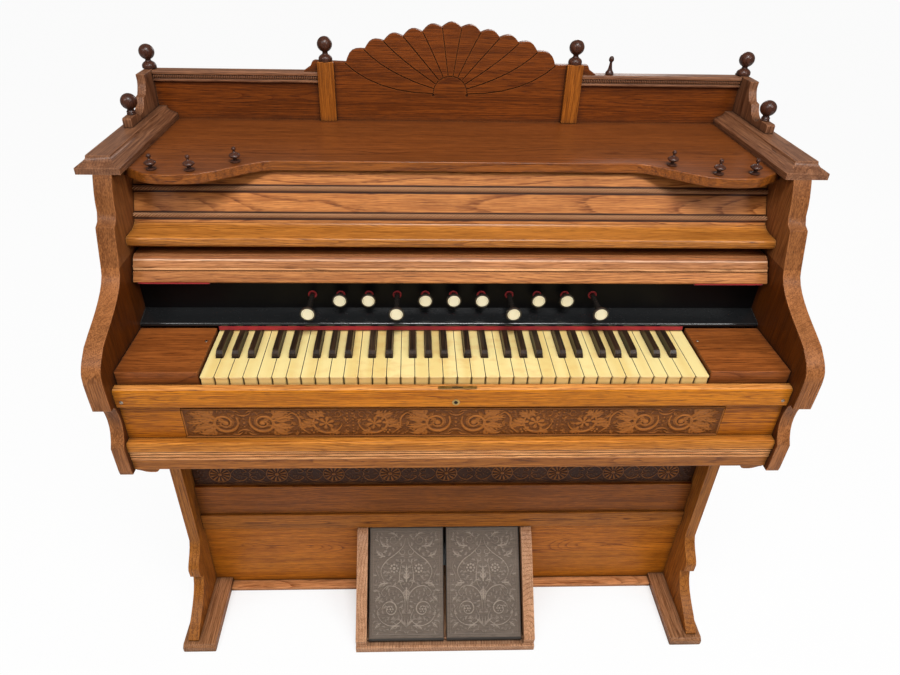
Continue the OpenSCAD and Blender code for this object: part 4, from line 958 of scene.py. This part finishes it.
# ---------------------------------------------------------------- fall
# A thin board with a moulded front rail that slides back over the stops. Two felt pads
# under the ends of its rail keep it off the key blocks.
# The two thin pale strips along the rail's arris and bead are wear and painted highlight.
dress("fall", board("oak_fall", "x", (0.1, -0.1, 0.88), pale=(188, 126, 78), deep=(146, 90, 48), rings=260, pith=0.02, wander=0.03,
                    seed=2.2, rubbed=0.5, quirk=0.95,
                    zones=((0.85, 0.8736, (194, 128, 72), (150, 90, 46), 0.7), (0.8755, 0.8788, (226, 168, 116), (200, 138, 90), 0.0),
                           (0.889, 0.8915, (222, 176, 142), (196, 146, 112), 0.0), (0.8915, 0.93, (160, 98, 54), (122, 70, 34), 1.0))), 0.0008)
lean = math.radians(32)


def on_fall(a, b, x):
    """a is the depth through the leaning rail and b the height up it."""
    return at(x, 142 + a * math.cos(lean) + b * math.sin(lean), 856.6 - a * math.sin(lean) + b * math.cos(lean))


for s, name in ((-1, "fall_pad_left"), (1, "fall_pad_right")):
    a, b = sorted((s * 553, s * 430))
    verts = [on_fall(p, q, x) for x in np.linspace(a, b, 24) for p, q in ((1.6, 0.1), (9, 0.1), (8.4, -1.6), (5, -2.2), (2.2, -1.6))]
    faces = [(i * 5 + k, i * 5 + (k + 1) % 5, i * 5 + 5 + (k + 1) % 5, i * 5 + 5 + k) for i in range(23) for k in range(5)]
    faces += [(0, 1, 2, 3, 4), tuple(range(119, 114, -1))]
    pad = link_mesh(name, verts, faces, red_felt, True)
    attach(pad, "fall")

# ---------------------------------------------------------------- music fascia
# A leaning oak board with bold cathedral grain, framed by two rope mouldings, over a coved
# nose. The ropes are turned five-start twists, split and glued on.
# The dark strips just above and below each rope are painted shade beside the rope.
fascia_oak = board("oak_fascia", "x", (-0.02, 0, 0.960), pale=(194, 126, 66), deep=(152, 90, 42), pore=(92, 50, 22), rings=135,
                   pith=0.06, bow=-0.101, depth=0.0, wander=0.03, figure=1.0, rubbed=0.3, dirt_and_shade=0.3,
                   zones=tuple((z + a, z + b, (70, 36, 16), (46, 24, 10), 0.0) for z in (0.993, 0.951) for a, b in ((-0.0068, -0.001), (0.0015, 0.0066))))
dress("fascia_nose", board("oak_nose", "x", (0, -0.06, 0.93), pale=(192, 122, 50), deep=(146, 86, 28), rings=240, pith=0.02, seed=6.0,
                           rubbed=0.75, rough=0.3, coat=0.4, quirk=0.95), 0.0008)
FACE_LEAN, NOSE, UNDER = 0.52, 940.0, 1024.0


def face_y(z):
    return 210 + (z - NOSE) * FACE_LEAN


verts, faces = [], []
for x in (-564.0, 564.0):
    for y, z in ((face_y(NOSE), NOSE), (face_y(UNDER), UNDER), (face_y(UNDER) + 20, UNDER), (face_y(NOSE) + 20, NOSE)):
        verts.append(at(x, y, z))
faces = [(0, 1, 2, 3), (7, 6, 5, 4), (0, 4, 5, 1), (1, 5, 6, 2), (2, 6, 7, 3), (3, 7, 4, 0)]
fascia = link_mesh("fascia_board", verts, faces, fascia_oak)
soft_edge = fascia.modifiers.new("arris", "BEVEL")
soft_edge.width, soft_edge.segments = 0.001, 2
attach(fascia, "case")
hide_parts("fascia")

twist = bpy.data.node_groups.new("rope_moulding", "GeometryNodeTree")
for label, kind in (("Geometry", "NodeSocketGeometry"), ("Radius", "NodeSocketFloat"), ("Strand Depth", "NodeSocketFloat"),
                    ("Turns", "NodeSocketFloat"), ("Rings", "NodeSocketInt"), ("Finish", "NodeSocketMaterial")):
    twist.interface.new_socket(label, in_out="INPUT", socket_type=kind)
twist.interface.new_socket("Geometry", in_out="OUTPUT", socket_type="NodeSocketGeometry")
t_in, t_out = twist.nodes.new("NodeGroupInput"), twist.nodes.new("NodeGroupOutput")
line = put(twist, "GeometryNodeMeshToCurve", {"Mesh": t_in.outputs["Geometry"]})
line = put(twist, "GeometryNodeResampleCurve", {"Curve": line.outputs[0], "Count": t_in.outputs["Rings"]})
along = put(twist, "GeometryNodeSplineParameter").outputs["Factor"]
angle = put(twist, "ShaderNodeMath", {0: along, 1: t_in.outputs["Turns"]}, operation="MULTIPLY").outputs[0]
angle = put(twist, "ShaderNodeMath", {0: angle, 1: 2 * math.pi}, operation="MULTIPLY").outputs[0]
line = put(twist, "GeometryNodeSetCurveTilt", {"Curve": line.outputs[0], "Tilt": angle})
round_ = put(twist, "GeometryNodeCurvePrimitiveCircle", {"Resolution": 30, "Radius": t_in.outputs["Radius"]})
where = put(twist, "ShaderNodeSeparateXYZ", {0: put(twist, "GeometryNodeInputPosition").outputs[0]}).outputs
spin = put(twist, "ShaderNodeMath", {0: where[1], 1: where[0]}, operation="ARCTAN2").outputs[0]
wave = put(twist, "ShaderNodeMath", {0: put(twist, "ShaderNodeMath", {0: spin, 1: 2.5}, operation="MULTIPLY").outputs[0]}, operation="COSINE").outputs[0]
wave = put(twist, "ShaderNodeMath", {0: wave}, operation="ABSOLUTE").outputs[0]
dip = put(twist, "ShaderNodeMath", {0: put(twist, "ShaderNodeMath", {0: 1.0, 1: wave}, operation="SUBTRACT").outputs[0],
                                    1: t_in.outputs["Strand Depth"]}, operation="MULTIPLY").outputs[0]
keep = put(twist, "ShaderNodeMath", {0: 1.0, 1: dip}, operation="SUBTRACT").outputs[0]
moved = put(twist, "ShaderNodeVectorMath", {0: put(twist, "GeometryNodeInputPosition").outputs[0]}, operation="SCALE")
twist.links.new(keep, moved.inputs["Scale"])
round_ = put(twist, "GeometryNodeSetPosition", {"Geometry": round_.outputs[0], "Position": moved.outputs[0]})
tube = put(twist, "GeometryNodeCurveToMesh", {"Curve": line.outputs[0], "Profile Curve": round_.outputs[0], "Fill Caps": True})
tube = put(twist, "GeometryNodeSetShadeSmooth", {"Geometry": tube.outputs[0], "Shade Smooth": True})
tube = put(twist, "GeometryNodeRealizeInstances", {"Geometry": tube.outputs[0]})
tube = put(twist, "GeometryNodeSetMaterial", {"Geometry": tube.outputs[0], "Material": t_in.outputs["Finish"]})
twist.links.new(tube.outputs[0], t_out.inputs[0])


def grown(name, verts, edges, tree, body, slot, **inputs):
    """Runs a node tree over a few points or edges and keeps the result as a plain mesh."""
    seed_mesh = bpy.data.meshes.new(name + "_path")
    seed_mesh.from_pydata([tuple(v) for v in verts], edges, [])
    o = bpy.data.objects.new(name, seed_mesh)
    bpy.context.scene.collection.objects.link(o)
    m = o.modifiers.new("grow", "NODES")
    m.node_group = tree
    for key, value in inputs.items():
        m[tree.interface.items_tree[key.replace("_", " ")].identifier] = value
    bpy.context.view_layer.update()
    made = bpy.data.meshes.new_from_object(o.evaluated_get(bpy.context.evaluated_depsgraph_get()))
    o.modifiers.clear()
    o.data = made
    bm = bmesh.new()
    bm.from_mesh(made)
    bmesh.ops.recalc_face_normals(bm, faces=bm.faces)
    bm.to_mesh(made)
    bm.free()
    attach(o, body)
    return o



def rope_finish(name, y, z):
    """Strands lighter on their backs as painted highlight, darker in the grooves as painted shade and old stain: told
    by the distance from the rope's axis.
    """
    m = plain_paint(name, (150, 96, 60), 0.45, speck=(60.0, 200.0, 200.0), dirt_and_shade=0.8, reach=0.003)
    t = m.node_tree
    body = t.nodes["Principled BSDF"]
    body.inputs["Specular IOR Level"].default_value = 0.15
    spot = put(t, "ShaderNodeVectorMath", {0: put(t, "ShaderNodeTexCoord").outputs["Object"], 1: tuple(at(0, y, z))}, operation="SUBTRACT")
    flat = put(t, "ShaderNodeVectorMath", {0: spot.outputs[0], 1: (0.0, 1.0, 1.0)}, operation="MULTIPLY")
    far = put(t, "ShaderNodeVectorMath", {0: flat.outputs[0]}, operation="LENGTH").outputs["Value"]
    tone = body.inputs["Base Color"].links[0].from_socket
    # Dark in the grooves as painted shade with old stain, pale on the strands' backs as painted highlight.
    tone = blended(t, spread(t, far, 0.0033, 0.004), ink(46, 25, 12), tone)
    tone = blended(t, spread(t, far, 0.0039, 0.00428, 0.0, 0.9), tone, ink(222, 166, 118))
    t.links.new(tone, body.inputs["Base Color"])
    return m


for z, n in ((993.0, "upper"), (951.0, "lower")):
    grown("rope_" + n, [at(-563.9, face_y(z), z), at(563.9, face_y(z), z)], [(0, 1)], twist, "case", "oak", Radius=0.00435,
          Strand_Depth=0.4, Turns=-38.0, Rings=2000, Finish=rope_finish("oak_rope_" + n, face_y(z), z))

# ---------------------------------------------------------------- shelf, caps and gallery
# The serpentine shelf, the mitred caps and the low gallery are stained darker than the
# case. Lathe-turned finials stand on the shelf, the posts and the gallery ends.
brown = dict(pale=(126, 62, 14), deep=(92, 42, 6), pore=(50, 24, 6))
dress("shelf", board("oak_shelf", "top", (0.2, 0.05, 1.04), pale=(130, 70, 28), deep=(104, 53, 18), pore=(62, 30, 12), rings=120,
                     pith=0.02, wander=0.06, rubbed=0.7, rough=0.3, coat=0.25, other=((0, -1, 0), (152, 86, 28), (110, 58, 16))),
      0.004, segments=3)
worn_brown = dict(pale=(142, 96, 66), deep=(100, 62, 40), pore=(52, 30, 20))
dress("caps", board("oak_caps", "y", (0.59, 0, 1.06), rings=200, pith=0.03, rubbed=0.6, coat=0.3, **worn_brown), 0.0012)
dress("gallery_ends", board("oak_gallery_ends", "side", (0.59, 0.2, 1.1), rings=200, pith=0.03, rubbed=0.5, **worn_brown), 0.0012)
dress("gallery_panels", board("oak_gallery", "x", (0.3, 0.25, 1.09), rings=380, pith=0.04, wander=0.02, **brown), 0.0008)
dress("gallery_rails", board("oak_rails", "x", (0, 0.25, 1.12), rings=240, pith=0.02, rubbed=0.5, quirk=0.9, **worn_brown), 0.0007)
dress("fan_board", board("oak_fan", "x", (0.1, 0.25, 1.12), rings=300, pith=0.03, wander=0.03, seed=7.0, quirk=0.95,
                         **brown), 0.0007)
dress("gallery_posts", board("oak_posts", "z", (0.25, 0.24, 1.1), pale=(164, 94, 28), deep=(124, 66, 14), pore=(84, 44, 12), rings=420,
                             pith=0.02, wander=0.03), 0.0016)

finial_oak = board("oak_finials", "z", (0.25, 0.25, 1.17), pale=(84, 47, 31), deep=(56, 30, 20), pore=(34, 18, 12), rings=300, pith=0.0,
                   wander=0.03, rubbed=0.2, coat=0.3, rough=0.3)
sphere = [(14.5 * math.cos(math.radians(a)), 14.5 * math.sin(math.radians(a))) for a in range(-66, 86, 6)] + [(0, 14.5)]
dome_foot = [(0, 0), (12.6, 0), (13.2, 0.6), (13.4, 3.0), (13.2, 5.4), (12.3, 7.8), (10.4, 10.0), (7.8, 11.8), (6.1, 13.0), (5.3, 14.4), (5.1, 16.0)]
bead_foot = [(0, 0), (7.4, 0), (8.0, 0.8), (8.0, 2.0), (7.3, 2.9), (6.9, 3.3), (7.6, 4.1), (7.9, 5.0), (7.4, 6.0), (6.5, 6.8), (6.0, 8.2)]
balls = []
for s in (-1, 1):
    for foot, up, spot in ((dome_foot, 31, (245, 486, 1157)), (bead_foot, 23, (591, 364, 1085)), (dome_foot, 30, (591, 495, 1138))):
        balls.append(turned(f"ball_finial_{len(balls) + 1}", foot + [(r, h + up) for r, h in sphere], (s * spot[0], spot[1], spot[2]),
                            (0, 0, 1), finial_oak))
pin_turning = [(0, 0), (7.6, 0), (8.0, 0.5), (8.0, 1.8), (7.2, 2.4), (4.2, 3.2), (3.2, 4.4), (3.4, 6.4), (5.2, 7.8), (7.4, 8.8), (9.4, 10.4),
               (10.0, 11.6), (9.6, 12.8), (8.0, 14.2), (5.8, 15.6), (3.4, 16.8), (2.2, 17.8), (1.8, 19.2), (2.4, 20.4), (3.5, 21.6),
               (3.9, 23.2), (3.6, 24.8), (2.2, 26.4), (0, 27.0)]
pins = [turned(f"shelf_finial_{i + 1}", pin_turning, (s * x, y, 1042), (0, 0, 1), finial_oak, 28)
        for i, (s, x, y) in enumerate((s, x, y) for s in (-1, 1) for x, y in ((509, 198.1), (445, 195.4), (379, 236.2)))]
rail_turning = [(0, 0), (7.6, 0), (8.0, 0.5), (8.0, 3.6), (7.0, 5.0), (5.0, 8.0), (3.8, 12.0), (3.1, 17.0), (2.4, 22.0), (3.0, 24.0),
                (4.6, 26.0), (5.0, 27.8), (4.8, 30.0), (3.6, 33.0), (2.0, 34.6), (0, 35.0)]
pins.append(turned("rail_finial", rail_turning, (318, 491, 1137), (0, 0, 1), finial_oak, 28))
for o in balls + pins:
    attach(o, "case")
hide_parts("ball_finials")
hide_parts("shelf_finials")

# Pressed gadroons stand in the hollow of each gallery rail, one bead every 3.5 mm.
row = bpy.data.node_groups.new("gadroon_row", "GeometryNodeTree")
for label, kind in (("Geometry", "NodeSocketGeometry"), ("Spacing", "NodeSocketFloat"), ("Bead Width", "NodeSocketFloat"),
                    ("Bead Height", "NodeSocketFloat"), ("Finish", "NodeSocketMaterial")):
    row.interface.new_socket(label, in_out="INPUT", socket_type=kind)
row.interface.new_socket("Geometry", in_out="OUTPUT", socket_type="NodeSocketGeometry")
w_in, w_out = row.nodes.new("NodeGroupInput"), row.nodes.new("NodeGroupOutput")
path = put(row, "GeometryNodeMeshToCurve", {"Mesh": w_in.outputs["Geometry"]})
dots = put(row, "GeometryNodeCurveToPoints", {"Curve": path.outputs[0], "Length": w_in.outputs["Spacing"]}, mode="LENGTH")
bead = put(row, "GeometryNodeMeshUVSphere", {"Segments": 8, "Rings": 6, "Radius": 1.0})
size = put(row, "ShaderNodeCombineXYZ", {0: w_in.outputs["Bead Width"], 1: w_in.outputs["Bead Width"], 2: w_in.outputs["Bead Height"]})
spots = put(row, "GeometryNodeInstanceOnPoints", {"Points": dots.outputs[0], "Instance": bead.outputs[0], "Scale": size.outputs[0]})
solid = put(row, "GeometryNodeRealizeInstances", {"Geometry": spots.outputs[0]})
solid = put(row, "GeometryNodeSetShadeSmooth", {"Geometry": solid.outputs[0], "Shade Smooth": True})
solid = put(row, "GeometryNodeSetMaterial", {"Geometry": solid.outputs[0], "Material": w_in.outputs["Finish"]})
row.links.new(solid.outputs[0], w_out.inputs[0])
gadroon_oak = plain_paint("oak_gadroons", (128, 82, 54), 0.36, coat=0.3, speck=(60.0, 60.0, 60.0), worn=(166, 116, 82), dirt_and_shade=0.95, reach=0.003)
for s, n in ((-1, "left"), (1, "right")):
    grown("gadroons_" + n, [at(s * 263, 479.9, 1126.4), at(s * 581, 479.9, 1126.4)], [(0, 1)], row, "case", "dark_oak", Spacing=0.0035,
          Bead_Width=0.0016, Bead_Height=0.0042, Finish=gadroon_oak)
    grown("pearls_" + n, [at(s * 263, 479.6, 1132.0), at(s * 581, 479.6, 1132.0)], [(0, 1)], row, "case", "dark_oak", Spacing=0.0035,
          Bead_Width=0.0013, Bead_Height=0.0013, Finish=gadroon_oak)

# ---------------------------------------------------------------- lock and screws
# A brass strike plate and a keyhole ring for the fall's lock, and slotted wood screws.
brass = plain_paint("aged_brass", (206, 170, 104), 0.34, metal=1.0, speck=(200.0, 200.0, 200.0), shift=0.35, bump=0.1, worn=(214, 188, 128), dirt_and_shade=0.8)
iron = plain_paint("screw_iron", (176, 160, 140), 0.35, metal=1.0, speck=(200.0, 200.0, 200.0), shift=0.3, worn=(220, 210, 196), dirt_and_shade=0.9)
# The slots and the keyhole are dark blocks and discs: painted shade where hollows would be.
dark_hole = plain_paint("hole_shade", (14, 10, 8), 0.8)


def screw(name, where, axis, r, slot_turn):
    """A domed head whose slot is a dark block: painted shade where the cut would be."""
    axis = Vector(axis).normalized()
    side = (axis.cross(Vector((1, 0, 0))) if abs(axis.x) < 0.9 else axis.cross(Vector((0, 1, 0)))).normalized()
    up = axis.cross(side)
    bm = bmesh.new()
    n = 24
    rings = []
    for rr, h in ((r, 0.0), (r, 0.25), (r * 0.86, 0.5), (r * 0.5, 0.66)):
        rings.append([bm.verts.new(at(*where) + axis * h / 1000 + (side * math.cos(6.28319 * k / n) + up * math.sin(6.28319 * k / n)) * rr / 1000)
                      for k in range(n)])
    for a, b in zip(rings, rings[1:]):
        for k in range(n):
            bm.faces.new((a[k], a[(k + 1) % n], b[(k + 1) % n], b[k]))
    bm.faces.new(rings[0][::-1])
    bm.faces.new(rings[-1])
    c, s = math.cos(slot_turn), math.sin(slot_turn)
    d, e = side * c + up * s, up * c - side * s
    corners = [at(*where) + (d * a * r * 0.92 + e * b * 0.35) / 1000 for a, b in ((-1, -1), (1, -1), (1, 1), (-1, 1))]
    low = [bm.verts.new(p + axis * 0.0002) for p in corners]
    high = [bm.verts.new(p + axis * 0.00072) for p in corners]
    made = [bm.faces.new(low[::-1]), bm.faces.new(high)] + [bm.faces.new((low[i], low[(i + 1) % 4], high[(i + 1) % 4], high[i])) for i in range(4)]
    for f in made:
        f.material_index = 1
    bmesh.ops.recalc_face_normals(bm, faces=bm.faces)
    mesh = bpy.data.meshes.new(name)
    bm.to_mesh(mesh)
    bm.free()
    mesh.materials.append(iron)
    mesh.materials.append(dark_hole)
    o = bpy.data.objects.new(name, mesh)
    bpy.context.scene.collection.objects.link(o)
    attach(o, "case")
    return o


screws = [screw("block_screw_left", (-435.4, 91.6, 768), (0, 0, 1), 2.5, 0.4), screw("block_screw_right", (435.4, 91.6, 768), (0, 0, 1), 2.5, 1.9),
          screw("slip_screw_left", (-554, -16, 720.5), (0, -1, 0), 3.0, 0.9), screw("slip_screw_right", (554, -16, 720.5), (0, -1, 0), 3.0, 2.2)]
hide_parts("fittings")
plate = bmesh.new()
extrude(plate, [(-32, -13.2), (-31, -14), (31, -14), (32, -13.2), (32, -7.8), (31, -7), (-31, -7), (-32, -7.8)], 746.5, 747.0, 0)
extrude(plate, [(-9, -11.6), (9, -11.6), (9, -9.4), (-9, -9.4)], 746.9, 747.06, 1)
bmesh.ops.recalc_face_normals(plate, faces=plate.faces)
plate_mesh = bpy.data.meshes.new("strike_plate")
plate.to_mesh(plate_mesh)
plate.free()
plate_mesh.materials.append(brass)
plate_mesh.materials.append(dark_hole)
strike = bpy.data.objects.new("strike_plate", plate_mesh)
bpy.context.scene.collection.objects.link(strike)
ring_turning = [(3.3, -0.1), (3.3, 0.45), (3.9, 0.8), (5.4, 0.8), (6.3, 0.5), (6.5, 0.0), (6.5, -0.1)]
escutcheon = turned("keyhole_ring", ring_turning + [ring_turning[0]], (-2, -16, 719), (0, -1, 0), brass, 36)
keyhole = turned("keyhole_dark", [(0, -0.2), (3.4, -0.2), (3.4, 0.1), (0, 0.1)], (-2, -16, 719), (0, -1, 0), dark_hole, 24)
for o in (strike, escutcheon, keyhole):
    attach(o, "case")

# ---------------------------------------------------------------- floor, light and camera
# A plain pale floor, a broad soft ceiling light with a weaker fill, and the photograph's view.
floor_paint = bpy.data.materials.new("floor")
floor_paint.use_nodes = True
t = floor_paint.node_tree
t.nodes.clear()
matt = put(t, "ShaderNodeBsdfDiffuse", {"Color": (0.9, 0.9, 0.9, 1.0)})
white = put(t, "ShaderNodeEmission", {"Color": (1.0, 1.0, 1.0, 1.0), "Strength": 1.0})
seen = put(t, "ShaderNodeLightPath")
# To the camera the floor glows white; the glow fades where the floor is closed in near and under the organ, painting in
# shade there.
open_air = put(t, "ShaderNodeAmbientOcclusion", {"Distance": 0.3}, samples=8).outputs["AO"]
spot = put(t, "ShaderNodeSeparateXYZ", {0: put(t, "ShaderNodeNewGeometry").outputs["Position"]}).outputs
under = sums(t, "MULTIPLY", spread(t, spot[1], -0.1, -0.05), spread(t, spot[1], 0.2, 0.26, 1.0, 0.0))
under = sums(t, "MULTIPLY", under, spread(t, sums(t, "ABSOLUTE", spot[0]), 0.42, 0.5, 1.0, 0.0))
bright = sums(t, "MULTIPLY", spread(t, open_air, 0.1, 0.55, 0.0, 0.95), sums(t, "SUBTRACT", 1.0, under))
share = sums(t, "MULTIPLY", seen.outputs["Is Camera Ray"], bright)
mixed = put(t, "ShaderNodeMixShader", {0: share, 1: matt.outputs[0], 2: white.outputs[0]})
t.links.new(mixed.outputs[0], put(t, "ShaderNodeOutputMaterial").inputs[0])
ground_mesh = bpy.data.meshes.new("floor")
ground_mesh.from_pydata([(-30, -30, 0), (30, -30, 0), (30, 30, 0), (-30, 30, 0)], [], [(0, 1, 2, 3)])
ground_mesh.materials.append(floor_paint)
floor = bpy.data.objects.new("floor", ground_mesh)
bpy.context.scene.collection.objects.link(floor)

world = bpy.data.worlds.new("room")
bpy.context.scene.world = world
world.use_nodes = True
w = world.node_tree
w.nodes.clear()
rays = put(w, "ShaderNodeLightPath").outputs
dim = put(w, "ShaderNodeBackground", {"Color": (1.0, 0.985, 0.96, 1.0), "Strength": 0.24})
full = put(w, "ShaderNodeBackground", {"Color": (1.0, 1.0, 1.0, 1.0), "Strength": 1.0})
pick = put(w, "ShaderNodeMixShader", {0: rays["Is Camera Ray"], 1: dim.outputs[0], 2: full.outputs[0]})
w.links.new(pick.outputs[0], put(w, "ShaderNodeOutputWorld").inputs[0])


def lamp(name, spot, aim, size, power):
    light = bpy.data.lights.new(name, "AREA")
    light.shape, light.size, light.size_y, light.energy = "RECTANGLE", size[0], size[1], power
    o = bpy.data.objects.new(name, light)
    o.location = spot
    o.rotation_mode = "QUATERNION"
    o.rotation_quaternion = (Vector(aim) - Vector(spot)).to_track_quat("-Z", "Y")
    bpy.context.scene.collection.objects.link(o)


lamp("ceiling", (0.15, -1.35, 3.3), (0.0, 0.0, 0.7), (1.3, 0.7), 68)
lamp("lamp_right", (1.7, -1.9, 2.7), (0.0, 0.0, 0.6), (0.7, 0.7), 22)
lamp("lamp_left", (-1.7, -1.9, 2.7), (0.0, 0.0, 0.7), (0.7, 0.7), 17)
lamp("lamp_back", (0.9, 3.2, 1.8), (0.0, 0.0, 0.6), (1.2, 1.2), 22)

tilt, turn_right, roll = math.radians(32.401154), math.radians(2.056318), math.radians(1.184997)
ahead = Vector((math.sin(turn_right) * math.cos(tilt), math.cos(turn_right) * math.cos(tilt), -math.sin(tilt)))
level = Vector((math.cos(turn_right), -math.sin(turn_right), 0))
upward = level.cross(ahead)
right = level * math.cos(roll) + upward * math.sin(roll)
upward = upward * math.cos(roll) - level * math.sin(roll)
eye = bpy.data.cameras.new("camera")
eye.sensor_width, eye.lens = 36.0, 650.892919 / 900 * 36
eye.shift_x, eye.shift_y = (450 - 431.684439) / 900, (304.41053 - 337.5) / 900
eye.clip_start, eye.clip_end = 0.01, 100
camera = bpy.data.objects.new("camera", eye)
bpy.context.scene.collection.objects.link(camera)
camera.matrix_world = Matrix.Translation(at(-75.768602, -845.93976, 1440.025977)) @ Matrix((right, upward, -ahead)).transposed().to_4x4()
bpy.context.scene.camera = camera
bpy.context.scene.view_settings.view_transform = "Standard"
